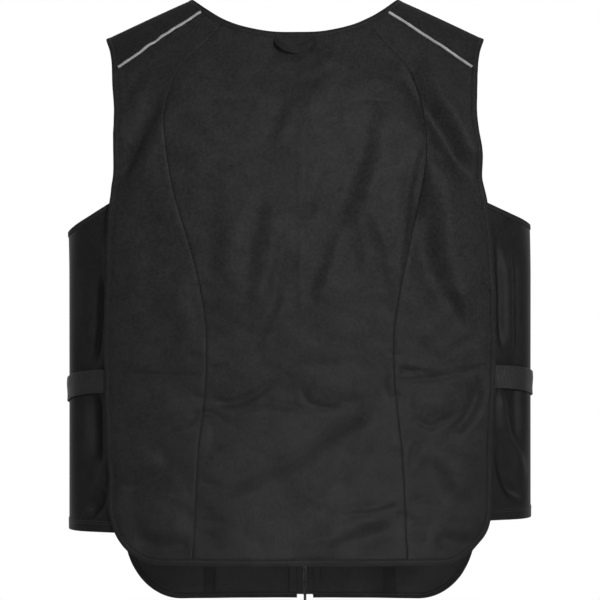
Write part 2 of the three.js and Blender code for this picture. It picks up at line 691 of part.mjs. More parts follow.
// A tape inside the front panels over their shaped seam.
function seamTape(sign) {
  const heights = frontSeamHeights.filter((z) => z < frontSeamTop - seamTapeWidth);
  return wallGeometry(1, heights.length - 1, (i, j, skin) => {
    const z = heights[j];
    const x = sign * (frontSeam(z) + i * seamTapeWidth);
    return vestPoint(x, patternPoint(x, z, 1).s, seamTapeOffset + skinOffset(seamTapeThickness, skin));
  });
}

// The reflective piping lies in its seam as a round cord.
function piping(sign) {
  const line = turnedTo(pipingCurve, sign).map(({ x, s }) => vestPoint(x, s, panelThickness / 4));
  const section = new THREE.Shape().absarc(0, 0, pipingRadius, 0, 2 * Math.PI);
  return new THREE.ExtrudeGeometry(section, {
    steps: 12,
    curveSegments: 4,
    bevelEnabled: false,
    extrudePath: new THREE.CatmullRomCurve3(line),
  });
}

// The hanger loop is a flat tape sewn under the neck binding at both ends and bowed outwards.
function hangerLoop() {
  const count = 16;
  const topZ = heightOf(neckInset[0]) - loopTapeThickness;
  return wallGeometry(1, count, (i, j, skin) => {
    const turn = lerp(0, Math.PI, j / count);
    const bow = Math.sin(turn);
    const width = lerp(loopEndWidth, loopTapeWidth, bow);
    const reach = 1 - (i * width) / (bow > 0.7 ? loopDrop : loopHalfWidth);
    const x = loopHalfWidth * Math.cos(turn) * reach;
    const z = topZ - loopDrop * bow * reach;
    const near = panelThickness / 2 + clearance + loopTapeThickness / 2;
    const offset = lerp(near, near + loopStandOff, smoothstep(bow, 0, 0.8));
    return vestPoint(x, patternPoint(x, z, -1).s, offset + skinOffset(loopTapeThickness, skin));
  });
}

// The zip's slider with its pull, one plain piece at the top of the closed chain.
function zipSlider() {
  const { width, waist, height, depth } = sliderSize;
  const rows = [
    { down: 0, half: width / 2, depth },
    { down: height - pullSize.thickness, half: waist / 2, depth },
    { down: height, half: pullSize.width / 2, depth: pullSize.thickness },
    { down: height + pullSize.length, half: pullSize.width / 2, depth: pullSize.thickness },
  ];
  const inner = zipTapeOffset + zipChainThickness / 2 + clearance;
  return wallGeometry(1, rows.length - 1, (i, j, skin) => {
    const row = rows[j];
    const z = zipTop - clearance - row.down;
    const x = zipMiddle(z) + (i ? row.half : -row.half);
    return vestPoint(x, patternPoint(x, z, 1).s, inner + (skin > 0 ? row.depth : 0));
  });
}

// The pin at the zip's foot stands out below the hem.
function zipFoot() {
  const z = frontHem + bindingWidth;
  const middle = vestPoint(zipMiddle(z), patternPoint(zipMiddle(z), z, 1).s, zipTapeOffset);
  const height = bindingWidth + zipPin.below - clearance;
  const geometry = new THREE.BoxGeometry(zipPin.width, zipPin.depth, height);
  geometry.translate(middle.x, middle.y, z - clearance - height / 2);
  return geometry;
}

addPiece("back_centre_panel", backCentre(), shellCloth);
addPiece("neck_binding", bandGeometry(
  mirrored(clipToZip(neckCurve)), mirrored(clipToZip(neckInner)),
), bindingCloth);
addPiece("back_edge_binding", bandGeometry(
  mirrored(backOutline.curve.slice().reverse()), mirrored(backInner.slice().reverse()),
), bindingCloth);
addPiece("hanger_loop", hangerLoop(), bindingCloth);

for (const side of sides) {
  const { name, sign } = side;
  const sideHem = levelAt(sideHemDrop, side.hem);
  const sideHemTop = sideHem + sideHemWidth;
  addPiece(`back_side_panel_${name}`, sidewaysPanel(backRows, 5, sign), shellCloth);
  addPiece(`shoulder_yoke_${name}`, yoke(sign), shellCloth);
  addPiece(`reflective_piping_${name}`, piping(sign), reflective);
  addPiece(`front_centre_panel_${name}`, frontCentre(sign), shellCloth);
  addPiece(`front_side_panel_${name}`, sidewaysPanel(frontRows, 5, sign), shellCloth);
  addPiece(`front_edge_binding_${name}`, bandGeometry(
    turnedTo(followZip(frontBindingCurve, sign), sign),
    turnedTo(followZip(frontBindingInner, sign), sign),
  ), bindingCloth);
  addPiece(`side_panel_${name}`, sideWall({
    side, rows: 12, thickness: sideThickness,
    high: (top) => top - bindingWidth - clearance,
    low: () => sideHemTop + clearance,
  }), stretchCloth);
  addPiece(`side_armhole_binding_${name}`, sideWall({
    side, rows: 1, thickness: sideBindingThickness,
    high: (top) => top, low: (top) => top - bindingWidth,
  }), bindingCloth);
  addPiece(`side_hem_${name}`, sideWall({
    side, rows: 1, thickness: 2 * sideThickness,
    high: () => sideHemTop, low: () => sideHem,
  }), stretchCloth);
  addPiece(`side_strap_${name}`, strap(side), webbing);
  addPiece(`zip_tape_${name}`, zipStrip({
    sign, inner: zipChainHalfWidth + clearance, outer: zipTapeHalf, top: zipTop,
    bottom: frontHem + zipTapeShort, thickness: zipTapeThickness, offset: zipTapeOffset,
  }), zipCloth);
  addPiece(`zip_facing_${name}`, zipStrip({
    sign, inner: zipOpeningHalf, outer: facingHalf, top: zipTop,
    bottom: frontHem + bindingWidth + clearance, thickness: facingThickness, offset: facingOffset,
  }), shellCloth);
  addPiece(`front_seam_tape_${name}`, seamTape(sign), shellCloth);
}
addPiece("zip_chain", zipStrip({
  sign: 1, inner: -zipChainHalfWidth, outer: zipChainHalfWidth, top: zipTop,
  bottom: frontHem + bindingWidth, thickness: zipChainThickness, offset: zipTapeOffset,
}), zipMetal);
addPiece("zip_slider", zipSlider(), zipMetal);
addPiece("zip_pin", zipFoot(), zipMetal);

export default vest;
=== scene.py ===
# The dressed model of a black sleeveless work vest, seen from the back as it keeps its worn form.
# Sizes are in millimetres up to the moment a mesh is made. +X is the wearer's right, +Y is out
# of the chest and +Z is up, as in the frame.
import bpy
import numpy as np
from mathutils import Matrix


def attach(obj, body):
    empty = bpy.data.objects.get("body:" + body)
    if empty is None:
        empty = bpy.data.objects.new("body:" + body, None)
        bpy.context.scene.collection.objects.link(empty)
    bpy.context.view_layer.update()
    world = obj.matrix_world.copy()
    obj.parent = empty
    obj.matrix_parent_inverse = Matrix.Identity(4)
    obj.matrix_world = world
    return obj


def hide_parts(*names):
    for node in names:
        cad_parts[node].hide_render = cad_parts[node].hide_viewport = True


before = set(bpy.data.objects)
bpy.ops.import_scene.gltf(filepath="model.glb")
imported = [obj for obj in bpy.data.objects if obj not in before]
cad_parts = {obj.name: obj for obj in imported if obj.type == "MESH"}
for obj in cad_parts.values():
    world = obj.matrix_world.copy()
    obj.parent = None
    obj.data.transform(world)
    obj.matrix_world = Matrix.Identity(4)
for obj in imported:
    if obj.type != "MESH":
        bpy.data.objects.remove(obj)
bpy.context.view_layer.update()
print("frame loaded:", len(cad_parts), "nodes")

mm = 0.001
halfPi = np.pi / 2

# The form, as the frame has it.
form = {
    "halfWidth": 207, "sideReach": 41, "backDepth": 112, "frontDepth": 114,
    "neckHalf": 110, "neckRise": 23, "shoulderDrop": 43, "backNeckDrop": 41, "frontNeckDrop": 118,
    "backLength": 601, "frontLength": 656, "neckPowerBack": 2.55, "neckPowerFront": 2.2,
    "roundness": 2.5, "ridgeSoft": 60, "arch": 110, "lean": 5.4, "zipDrift": 5.6,
    "armholeDrop": 219, "strapDrop": 404, "hemDrop": 556,
    "panel": 2.4, "side": 1.2, "strap": 1.6, "strapWidth": 25,
    "bindingWidth": 6, "binding": 3, "sideBinding": 2.6, "sideHem": 13, "hollow": 7,
    "gap": 0.4, "underlap": 12, "strapTuck": 10,
}
formHalf = form["halfWidth"] + form["sideReach"]
backHem = form["neckRise"] - form["backLength"]
frontHem = form["neckRise"] - form["frontLength"]
depthRows = np.array([
    (0, .68, .67), (.07, .7, .7), (.2, .93, .86), (.34, 1, .99),
    (.54, .93, 1), (.69, .85, .94), (.84, .88, .93), (1, .92, .95),
])
backEdgeRows = np.array([
    (.0715, .983), (.1, .952), (.15, .934), (.222, .927), (.3, .942),
    (.366, .967), (.45, .984), (.63, 1), (.78, .987), (.9, .977),
])
backSeamRows = np.array([
    (.03, .33), (.075, .432), (.117, .556), (.16, .627), (.205, .66), (.253, .662),
    (.313, .647), (.371, .614), (.433, .564), (.513, .507), (.586, .476), (.661, .475),
    (.722, .49), (.79, .512), (.852, .525), (.99, .543),
])
frontEdgeRows = np.array([
    (.0657, .983), (.104, .91), (.157, .852), (.219, .832), (.28, .856),
    (.335, .905), (.402, .93), (.647, .94), (.875, .935),
])
frontSeamRows = np.array([
    (.1, .33), (.155, .46), (.21, .545), (.27, .578), (.34, .566), (.42, .52),
    (.52, .466), (.62, .44), (.72, .442), (.85, .456), (1, .462),
])
sides = {
    "right": {"sign": 1, "armEdge": 1, "armMiddle": 1.105, "hem": 1, "strapEdge": 1, "strapMiddle": 1.032},
    "left": {"sign": -1, "armEdge": 1, "armMiddle": 1.142, "hem": 1.023, "strapEdge": 1.012, "strapMiddle": 1.052},
}
# x1, down1, x2, down2 as shares of the half width and the back length, then width and rise
backFolds = [
    (.51, .12, .91, .32, .75, -1), (-.73, .2, -.93, .345, .7, -1), (-.61, .1, -.86, .19, .65, -.6),
    (.23, .17, -.3, .52, 1.1, .6), (.51, .24, .43, .47, .9, .8), (.33, .26, .05, .43, .8, -.6),
    (-.45, .72, -.08, .698, .6, -.8), (0, .726, .27, .733, .6, -.6), (.9, .71, .78, .79, .6, -.8),
    (-.94, .847, -.68, .834, .65, -.6), (-.81, .947, -.56, .929, .65, -.6), (0, .964, .51, .921, 1, -.6),
]
frontFolds = [
    (.42, .24, .8, .36, .9, -.8), (-.4, .22, -.8, .34, .9, -.8),
    (.2, .7, .85, .64, .8, -.6), (-.25, .68, -.85, .72, .8, -.6),
]
foldSize = {"width": 20, "rise": 5}


def readRows(rows, at, column=1):
    # a column of a table at a place down it: a cubic between rows, with each row's slope taken across it
    down, value = rows[:, 0], rows[:, column]
    last = len(rows) - 1
    before, after = np.maximum(np.arange(last + 1) - 1, 0), np.minimum(np.arange(last + 1) + 1, last)
    slope = (value[after] - value[before]) / (down[after] - down[before])
    place = np.clip(at, down[0], down[-1])
    i = np.clip(np.searchsorted(down, place, side="right") - 1, 0, last - 1)
    span = down[i + 1] - down[i]
    t = (place - down[i]) / span
    rest = 1 - t
    return (value[i] * rest**2 * (1 + 2 * t) + value[i + 1] * t**2 * (3 - 2 * t)
            + span * t * rest * (slope[i] * rest - slope[i + 1] * t))


def smooth(value, low, high):
    # 0 below low, 1 above high and an even S between
    t = np.clip((value - low) / (high - low), 0, 1)
    return t * t * (3 - 2 * t)


def mix(a, b, t):
    return a + (b - a) * t


def softLength(x):
    return np.hypot(x, form["ridgeSoft"])


shoulderTip = backEdgeRows[0, 1] * form["halfWidth"]
ridgeSlope = form["shoulderDrop"] / (softLength(shoulderTip) - softLength(form["neckHalf"]))


def ridgeHeight(x):
    # the shoulder line: its height falls with a hyperbola of x, straight far out and soft at the neck
    return form["neckRise"] - ridgeSlope * (softLength(x) - softLength(form["neckHalf"]))


def turnAt(x, z):
    # the turn over the shoulder at a height: the angle whose cosine is 1 less the share of the arch
    down = np.maximum(0, ridgeHeight(x) - z)
    share = down / form["arch"]
    return np.where(share < 1, np.arccos(1 - np.minimum(share, 1)), halfPi + share - 1)


def shareDown(z):
    return (form["neckRise"] - z) / form["backLength"]


def depthAt(z, face):
    return np.where(face < 0, form["backDepth"] * readRows(depthRows, shareDown(z), 1),
                    form["frontDepth"] * readRows(depthRows, shareDown(z), 2))


def formPoint(x, s):
    # height falls and depth grows as the sides of a quarter circle over the shoulder, then the wall is upright;
    # seen from above, the depth closes towards the sides as a rounded box
    x, s = np.broadcast_arrays(np.asarray(x, float), np.asarray(s, float))
    turn = np.abs(s)
    upright = turn > halfPi
    down = form["arch"] * np.where(upright, 1 + turn - halfPi, 1 - np.cos(turn))
    z = ridgeHeight(x) - down
    out = np.minimum(1, np.abs(x) / formHalf)
    closing = (1 - out ** form["roundness"]) ** (1 / form["roundness"])
    y = np.sign(s) * depthAt(z, s) * np.where(upright, 1, np.sin(turn)) * closing
    return np.stack([x, y, z], -1)


def unit(vectors):
    return vectors / np.maximum(np.linalg.norm(vectors, axis=-1, keepdims=True), 1e-9)


def formSlopes(x, s):
    alongX = formPoint(x + 0.5, s) - formPoint(x - 0.5, s)
    alongTurn = (formPoint(x, s + 0.005) - formPoint(x, s - 0.005)) / 0.01
    return alongX, alongTurn


def formNormal(x, s):
    return unit(np.cross(*formSlopes(x, s)))


def foldsOf(rows, x, z):
    # each fold is its rise times a bell of the distance from its line
    height = np.zeros(np.broadcast(x, z).shape)
    for x1, down1, x2, down2, width, rise in rows:
        start = np.array([x1 * form["halfWidth"], form["neckRise"] - down1 * form["backLength"]])
        run = np.array([x2 * form["halfWidth"], form["neckRise"] - down2 * form["backLength"]]) - start
        t = np.clip(((x - start[0]) * run[0] + (z - start[1]) * run[1]) / (run @ run), 0, 1)
        away = np.hypot(x - start[0] - t * run[0], z - start[1] - t * run[1]) / (foldSize["width"] * width)
        height = height + foldSize["rise"] * rise * np.exp(-away**2 / 2)
    return height


def leanAt(z):
    return -form["lean"] * smooth(-shareDown(z), -0.5, -0.15)


# Folds, creases and seams in the cloth.
# A crease is a line of points where the camera sees it in the 600 x 600 picture, then its width
# and rise in millimetres and its flank: 0 is an even ridge or valley, and 1 is a step that stands
# up on the right of a line that runs down, or above one that runs right.
creases = {
    "scale": 1.044, "middle": 300, "top": 13.2, "strength": 2.05, "widen": 1.2, "pucker": 1.15,
    "back": [
        # shoulders
        ([(168, 92), (146, 138), (118, 193)], 8, 2.0, .9), ([(158, 58), (141, 78), (122, 102)], 4, .7, .8),
        ([(146, 50), (132, 60), (117, 72)], 4, .5, .8), ([(172, 74), (150, 92), (132, 108)], 5, .5, -.8),
        ([(410, 58), (433, 98), (457, 137), (479, 182)], 8.5, 4.0, .95),
        ([(300, 84), (318, 72), (342, 58)], 5, .7, .8),
        ([(210, 70), (250, 78), (290, 72)], 12, -.8, 0), ([(346, 40), (326, 82), (298, 136)], 9, 1.2, -.3),
        ([(292, 98), (282, 120), (272, 146)], 5, .6, .9), ([(204, 46), (190, 66), (180, 90)], 6, .6, 0),
        # long slanting folds over the back
        ([(384, 136), (370, 168), (354, 202), (340, 232)], 8, .85, .95),
        ([(366, 128), (350, 168), (328, 208)], 8, .6, -.9),
        ([(398, 108), (382, 150), (377, 196), (385, 246)], 8, 1.1, -.9),
        ([(338, 228), (326, 264), (312, 304)], 4.5, .55, .9),
        ([(332, 160), (318, 190), (308, 226)], 6, .7, -.8),
        ([(258, 188), (244, 232), (230, 286)], 8, 1.0, -.9),
        ([(272, 192), (260, 240), (254, 300), (248, 350)], 6.5, .5, .95),
        ([(284, 220), (275, 262), (262, 310)], 5.5, .8, -.9), ([(286, 290), (272, 318), (255, 350)], 5, .8, .9),
        ([(222, 180), (219, 240), (221, 288)], 8, .45, .9), ([(318, 228), (308, 262), (300, 300)], 5, .5, -.9),
        ([(362, 206), (365, 240), (369, 280)], 4, .35, -.9),
        ([(374, 212), (382, 250), (392, 296)], 4.5, .5, .9),
        ([(350, 236), (340, 280), (330, 330)], 8, .5, -.9),
        ([(424, 132), (412, 190), (404, 250), (397, 306)], 2.6, .5, -.9),
        ([(430, 150), (425, 200), (414, 250)], 4, .6, .9),
        ([(428, 150), (432, 208), (438, 256), (454, 300), (469, 334)], 12, 3.8, .95),
        ([(462, 172), (480, 230), (487, 300)], 9, .9, -.9),
        ([(450, 288), (460, 306), (463, 326)], 4, .9, .9), ([(428, 156), (442, 155)], 2.4, -.5, 0),
        ([(420, 280), (440, 310), (430, 350)], 13, 1.4, -.5),
        ([(124, 224), (146, 221), (168, 226)], 3, -.5, .4),
        ([(130, 215), (142, 270), (140, 330)], 9, .7, -.8), ([(180, 250), (176, 300), (182, 350)], 8, .5, .8),
        ([(430, 320), (446, 342), (440, 360)], 12, .9, 0),
        # waist
        ([(484, 334), (462, 342), (440, 356)], 4, -1.1, .3),
        ([(397, 377), (408, 382), (440, 379), (470, 373), (490, 367)], 2.4, -1.2, .3),
        ([(397, 372), (412, 371), (431, 375)], 2, -.8, .3),
        ([(402, 364), (424, 368), (446, 362)], 4, .7, 0), ([(410, 398), (432, 404), (456, 400)], 7, 1.1, 0),
        ([(487, 376), (483, 402), (472, 423), (453, 441)], 4.6, 1.4, .95),
        ([(413, 418), (429, 429), (442, 425), (464, 414)], 2.5, -1.3, .35),
        ([(429, 430), (415, 446), (407, 472)], 2.8, -1.4, .3),
        ([(207, 397), (225, 406), (249, 401), (270, 387), (284, 378)], 3, -1.6, .4),
        ([(258, 402), (280, 406), (302, 408)], 2.4, -.9, .3),
        ([(212, 410), (240, 416), (270, 408)], 4.5, 1.0, 0),
        ([(298, 384), (307, 403), (328, 409), (342, 404)], 2.6, -1.0, .35),
        ([(338, 405), (362, 402), (388, 399)], 3, -.7, .3), ([(310, 378), (330, 386), (352, 384)], 7, .9, 0),
        ([(288, 362), (320, 368), (368, 362)], 4, -.5, .4),
        ([(114, 377), (150, 376), (176, 378), (203, 377)], 2.2, -1.2, .3),
        ([(122, 392), (141, 386), (170, 381)], 2.6, -.8, .3),
        ([(164, 436), (184, 424), (204, 418)], 3.4, -1.0, .3),
        ([(186, 418), (202, 416), (216, 417), (228, 426)], 2.8, -1.3, .3),
        ([(120, 404), (150, 410), (182, 404)], 7, .6, 0),
        ([(394, 366), (388, 380), (392, 396)], 4, .6, .8), ([(210, 362), (236, 366), (262, 360)], 4, .5, 0),
        # below the waist
        ([(392, 402), (350, 426), (300, 462), (250, 484), (204, 503)], 10, 1.8, .9),
        ([(318, 436), (280, 458), (240, 470), (206, 478)], 8, .8, 0),
        ([(338, 446), (330, 466), (320, 488)], 5, .5, .9), ([(352, 458), (326, 484), (290, 506)], 9, .9, -.7),
        ([(376, 420), (366, 454), (350, 490)], 7, .9, -.8), ([(403, 501), (374, 510), (340, 513)], 3, .9, -.9),
        ([(400, 520), (356, 532), (322, 547), (284, 552)], 8, 2.0, -.9),
        ([(370, 550), (328, 557), (290, 562)], 5, 1.0, -.9), ([(380, 532), (340, 540), (318, 548)], 5, .8, 0),
        ([(168, 466), (142, 477), (114, 486)], 8.5, 2.2, -.9), ([(150, 452), (126, 462), (114, 464)], 6, .8, 0),
        ([(193, 536), (164, 541), (132, 532)], 8.5, 2.2, -.9), ([(190, 518), (160, 524), (130, 516)], 6, .9, 0),
        ([(168, 494), (176, 516), (190, 524)], 6, -.6, 0), ([(240, 526), (266, 534), (296, 530)], 9, .7, 0),
        ([(434, 448), (446, 474), (454, 506)], 11, 2.2, .9),
        ([(468, 444), (478, 462), (486, 482)], 8, 1.1, -.8),
        ([(436, 530), (462, 538), (486, 532)], 8, 2.4, .9), ([(420, 536), (440, 548), (462, 552)], 7, .8, 0),
        # puckers beside the shaped seams
        ([(183, 286), (214, 287)], 2.2, -.6, 0), ([(402, 290), (424, 296)], 2.2, -.5, 0),
        ([(186, 360), (208, 358)], 2.2, -.8, .3), ([(208, 370), (230, 366)], 2.2, -.6, .3),
        ([(190, 396), (206, 398)], 2, -.6, 0),
        ([(208, 436), (226, 434)], 2.2, -.7, .3), ([(206, 446), (222, 450)], 2, -.6, 0),
        ([(196, 462), (214, 458)], 2.2, -.6, 0),
        ([(198, 483), (222, 488)], 2.4, -.8, .3), ([(184, 494), (198, 492)], 2.2, -.6, 0),
        ([(196, 508), (214, 512)], 2.2, -.6, 0),
        ([(196, 521), (226, 523)], 2.4, -.9, .3), ([(194, 534), (216, 536)], 2.2, -.7, 0),
        ([(180, 548), (196, 550)], 2.2, -.5, 0),
        ([(384, 352), (402, 358)], 2.2, -.6, .3), ([(398, 370), (418, 374)], 2, -.7, 0),
        ([(386, 398), (404, 396)], 2, -.6, 0),
        ([(402, 436), (420, 434)], 2.2, -.6, 0), ([(388, 452), (406, 456)], 2.2, -.6, 0),
        ([(406, 480), (424, 484)], 2.2, -.7, .3),
        ([(408, 503), (434, 500)], 3, -1.1, .3), ([(396, 514), (410, 516)], 2, -.6, 0),
        ([(408, 524), (434, 523)], 2.6, -.9, .3),
        ([(410, 536), (428, 538)], 2.2, -.6, 0), ([(482, 286), (494, 290)], 2.2, -.6, 0),
        ([(474, 204), (490, 206)], 2.4, -.6, 0),
        # the lining and the inner seams press through
        ([(300, 130), (300, 200), (301, 340)], 1.5, .3, 0), ([(187, 78), (187, 97)], 1.5, -.35, 0),
        ([(203, 99), (226, 101), (250, 99)], 1.6, -.5, .3), ([(350, 58), (344, 82), (348, 104)], 2, -.6, .4),
        ([(348, 103), (372, 101), (397, 103)], 1.6, -.3, 0),
        ([(264, 408), (310, 409), (352, 408)], 1.6, -.4, 0),
    ],
    "front": [
        ([(190, 190), (232, 240), (250, 300)], 8, 1.2, .8), ([(410, 190), (368, 240), (350, 300)], 8, 1.2, -.8),
        ([(150, 380), (200, 398), (250, 396)], 4, -1.5, .3),
        ([(450, 380), (400, 400), (350, 396)], 4, -1.5, -.3),
        ([(260, 420), (220, 458), (160, 476)], 7, 1.4, .8), ([(345, 420), (390, 462), (440, 480)], 7, 1.4, -.8),
        ([(200, 540), (236, 534), (270, 520)], 6, -1.2, 0), ([(400, 545), (366, 538), (335, 522)], 6, -1.2, 0),
        ([(140, 250), (156, 300), (150, 350)], 8, 1.0, .8), ([(460, 250), (444, 300), (450, 350)], 8, 1.0, -.8),
        ([(250, 150), (256, 220), (244, 290)], 6, .9, .8), ([(350, 150), (344, 220), (356, 290)], 6, .9, -.8),
    ],
}
wave = np.random.default_rng(7)
waveRows = np.stack([
    wave.uniform(14, 80, 30),  # length
    wave.uniform(0, np.pi, 30),  # direction
    wave.uniform(0, 2 * np.pi, 30),  # start
], -1)


def bowed(points):
    # four steps between neighbouring points, on a curve whose slope at each is taken across it
    points = np.array(points, float)
    if len(points) < 3:
        return points
    index = np.arange(len(points))
    fine = np.linspace(0, index[-1], 4 * index[-1] + 1)
    return np.stack([readRows(np.column_stack([index, points[:, k]]), fine) for k in (0, 1)], -1)


def creaseHeight(u, v, rows):
    # rise times a bell of the distance from the line, even or turned into a step by the flank, fading at both ends
    u, v = (np.array(a, float) for a in np.broadcast_arrays(u, v))
    height = np.zeros(u.shape)
    for line, width, rise, flank in rows:
        low, high = line.min(0) - 3.6 * width, line.max(0) + 3.6 * width
        near = (u > low[0]) & (u < high[0]) & (v > low[1]) & (v < high[1])
        if not near.any():
            continue
        nearU, nearV = u[near], v[near]
        nearest, side, place, passed = np.full(nearU.shape, 1e9), 0 * nearU, 0 * nearU, 0.0
        for (u1, v1), (u2, v2) in zip(line[:-1], line[1:]):
            length = np.hypot(u2 - u1, v2 - v1)
            alongU, alongV = (u2 - u1) / length, (v2 - v1) / length
            run = np.clip((nearU - u1) * alongU + (nearV - v1) * alongV, 0, length)
            offU, offV = nearU - u1 - run * alongU, nearV - v1 - run * alongV
            away = np.hypot(offU, offV)
            closer = away < nearest
            nearest = np.where(closer, away, nearest)
            side = np.where(closer, away * np.sign(offV * alongU - offU * alongV), side)
            place = np.where(closer, passed + run, place)
            passed += length
        w = side / width
        fade = smooth(np.minimum(place, passed - place) / passed, -0.02, 0.25)
        height[near] += rise * fade * np.exp(-w * w / 2) * (1 - abs(flank) + 1.65 * flank * w)
    return height


def seenRows(rows):
    # from picture points to x and z on the cloth
    table = []
    for points, width, rise, flank in rows:
        line = bowed(points)
        rise *= creases["pucker"] if width < 2.5 else 1
        z = creases["top"] - creases["scale"] * line[:, 1]
        x = (line[:, 0] - creases["middle"]) * creases["scale"] - leanAt(z)
        table.append((np.column_stack([x, z]), width * creases["widen"], rise, flank))
    return table


backCreases, frontCreases = seenRows(creases["back"]), seenRows(creases["front"])
seamRelief = {"groove": 0.75, "grooveWidth": 1.2, "ridge": 0.22, "ridgeWidth": 7.5, "unevenness": 0.5}


def seamLine(distance):
    # a groove at the seam, and the seam allowance that stands up a little on its outer side
    groove = -seamRelief["groove"] * np.exp(-(distance / seamRelief["grooveWidth"]) ** 2)
    end = seamRelief["ridgeWidth"]
    ridge = smooth(distance, -1, 1.5) * (1 - smooth(distance, end - 1.2, end + 1.2))
    return groove + seamRelief["ridge"] * ridge


def unevenness(x, z):
    # a sum of sine waves whose height grows with their length
    height = np.zeros(np.broadcast(x, z).shape)
    for length, way, start in waveRows:
        height = height + length / 60 * np.sin(2 * np.pi * (x * np.cos(way) + z * np.sin(way)) / length + start)
    return seamRelief["unevenness"] * height / 3


def relief(x, z, s):
    big = np.where(s < 0, foldsOf(backFolds, x, z), foldsOf(frontFolds, x, z)) * smooth(np.abs(s), 0.6, 1.3)
    small = np.where(s < 0, creaseHeight(x, z, backCreases), creaseHeight(x, z, frontCreases))
    return big + (creases["strength"] * small + unevenness(x, z)) * smooth(np.abs(s), 0.35, 0.9)


def vestPoint(x, s, offset=0.0):
    # the form's point moved out along its normal by an offset and by the folds there
    point = formPoint(x, s)
    height = offset + relief(x, point[..., 2], s)
    point = point + formNormal(x, s) * np.asarray(height)[..., None]
    point[..., 0] += leanAt(point[..., 2])
    return point


# Pattern curves, as rows of x and turn.
def heightOf(curve):
    return formPoint(curve[..., 0], curve[..., 1])[..., 2]


def pattern(x, z, face):
    x, z = np.broadcast_arrays(np.asarray(x, float), np.asarray(z, float))
    return np.stack([x, np.sign(face) * turnAt(x, z)], -1)


def runLengths(points):
    # length from the first point to each of them
    return np.concatenate([[0], np.cumsum(np.linalg.norm(np.diff(points, axis=0), axis=1))])


def readAlong(at, along, values):
    return np.stack([np.interp(at, along, column) for column in values.T], -1)


def lengthsAlong(curve):
    return runLengths(formPoint(curve[:, 0], curve[:, 1]))


def resampled(curve, shares):
    along = lengthsAlong(curve)
    return readAlong(np.asarray(shares) * along[-1], along, curve)


def shifted(curve, distance):
    # every point moved along the form, square to the curve's own run
    run = np.gradient(curve, axis=0)
    alongX, alongTurn = formSlopes(curve[:, 0], curve[:, 1])
    line = alongX * run[:, :1] + alongTurn * run[:, 1:]
    way = unit(np.cross(np.cross(alongX, alongTurn), line)) * distance
    xx, xs, ss = (alongX**2).sum(1), (alongX * alongTurn).sum(1), (alongTurn**2).sum(1)
    wx, ws = (way * alongX).sum(1), (way * alongTurn).sum(1)
    scale = xx * ss - xs * xs
    return curve + np.stack([(wx * ss - ws * xs) / scale, (ws * xx - wx * xs) / scale], -1)


def passing(curve, column, value):
    # the point where a curve passes a value of one of its columns
    order = curve if curve[-1, column] > curve[0, column] else curve[::-1]
    return readAlong(value, order[:, column], order)


def backEdge(z):
    return form["halfWidth"] * readRows(backEdgeRows, shareDown(z))


def backSeam(z):
    return form["halfWidth"] * readRows(backSeamRows, shareDown(z))


def frontShare(z):
    return (form["neckRise"] - z) / form["frontLength"]


def frontEdge(z):
    return form["halfWidth"] * readRows(frontEdgeRows, frontShare(z))


def frontSeam(z):
    return form["halfWidth"] * readRows(frontSeamRows, frontShare(z))


def neckHeight(x, t):
    drop = np.where(t < 0.5, form["backNeckDrop"], form["frontNeckDrop"])
    power = np.where(t < 0.5, form["neckPowerBack"], form["neckPowerFront"])
    return form["neckRise"] - drop * (1 - (np.abs(x) / form["neckHalf"]) ** power)


neckSteps = np.linspace(0, 1, 241)
neckX = form["neckHalf"] * np.sin(np.pi * neckSteps)
neckCurve = pattern(neckX, neckHeight(neckX, neckSteps), np.where(neckSteps < 0.5, -1, 1))
neckInset = shifted(neckCurve, -(form["bindingWidth"] + 1.5 * form["gap"]))
backNeckInset, frontNeckInset = neckInset[:112], neckInset[130:]


def yokeTip(s):
    x = shoulderTip + 0 * np.asarray(s, float)
    for _ in range(12):
        z = formPoint(x, s)[..., 2]
        x = np.where(np.asarray(s) < 0, backEdge(z), frontEdge(z))
    return x


yokeDrops = {"neck": 24, "tip": 44, "front": 48}


def turnForDrop(drop):
    return np.arccos(1 - drop / form["arch"])


def pipingTurn(x):
    out = np.clip((x - form["neckHalf"]) / (shoulderTip - form["neckHalf"]), -0.2, 1)
    return -turnForDrop(mix(yokeDrops["neck"], yokeDrops["tip"], out))


frontTurn = turnForDrop(yokeDrops["front"])
pipingTipX = shoulderTip
for _ in range(12):
    pipingTipX = float(yokeTip(pipingTurn(pipingTipX)))
pipingNeckX = form["neckHalf"]
for _ in range(24):
    pipingNeckX = mix(pipingNeckX, passing(neckInset[:128], 1, pipingTurn(pipingNeckX))[0], 0.5)
pipingX = np.linspace(pipingNeckX, pipingTipX - form["bindingWidth"] - form["gap"], 97)
pipingCurve = np.stack([pipingX, pipingTurn(pipingX)], -1)


outlineSteps = {"edge": 181, "corner": 30, "hem": 60}
armPoints = outlineSteps["edge"] + outlineSteps["corner"]


def outlineCurve(edge, top, hem, corner, inner, face):
    # down the edge, a quarter ellipse round the corner, and along the hem
    cornerWidth, cornerHeight = corner["width"], corner["height"]
    cornerTop = hem + cornerHeight
    foot = edge(cornerTop)
    z = np.linspace(top, cornerTop, outlineSteps["edge"])
    turn = np.linspace(0, halfPi, outlineSteps["corner"] + 1)[1:]
    x = np.linspace(foot - cornerWidth, inner, outlineSteps["hem"] + 1)[1:]
    return np.concatenate([
        pattern(edge(z), z, face),
        pattern(foot - cornerWidth * (1 - np.cos(turn)), cornerTop - cornerHeight * np.sin(turn), face),
        pattern(x, hem + 0 * x, face),
    ])


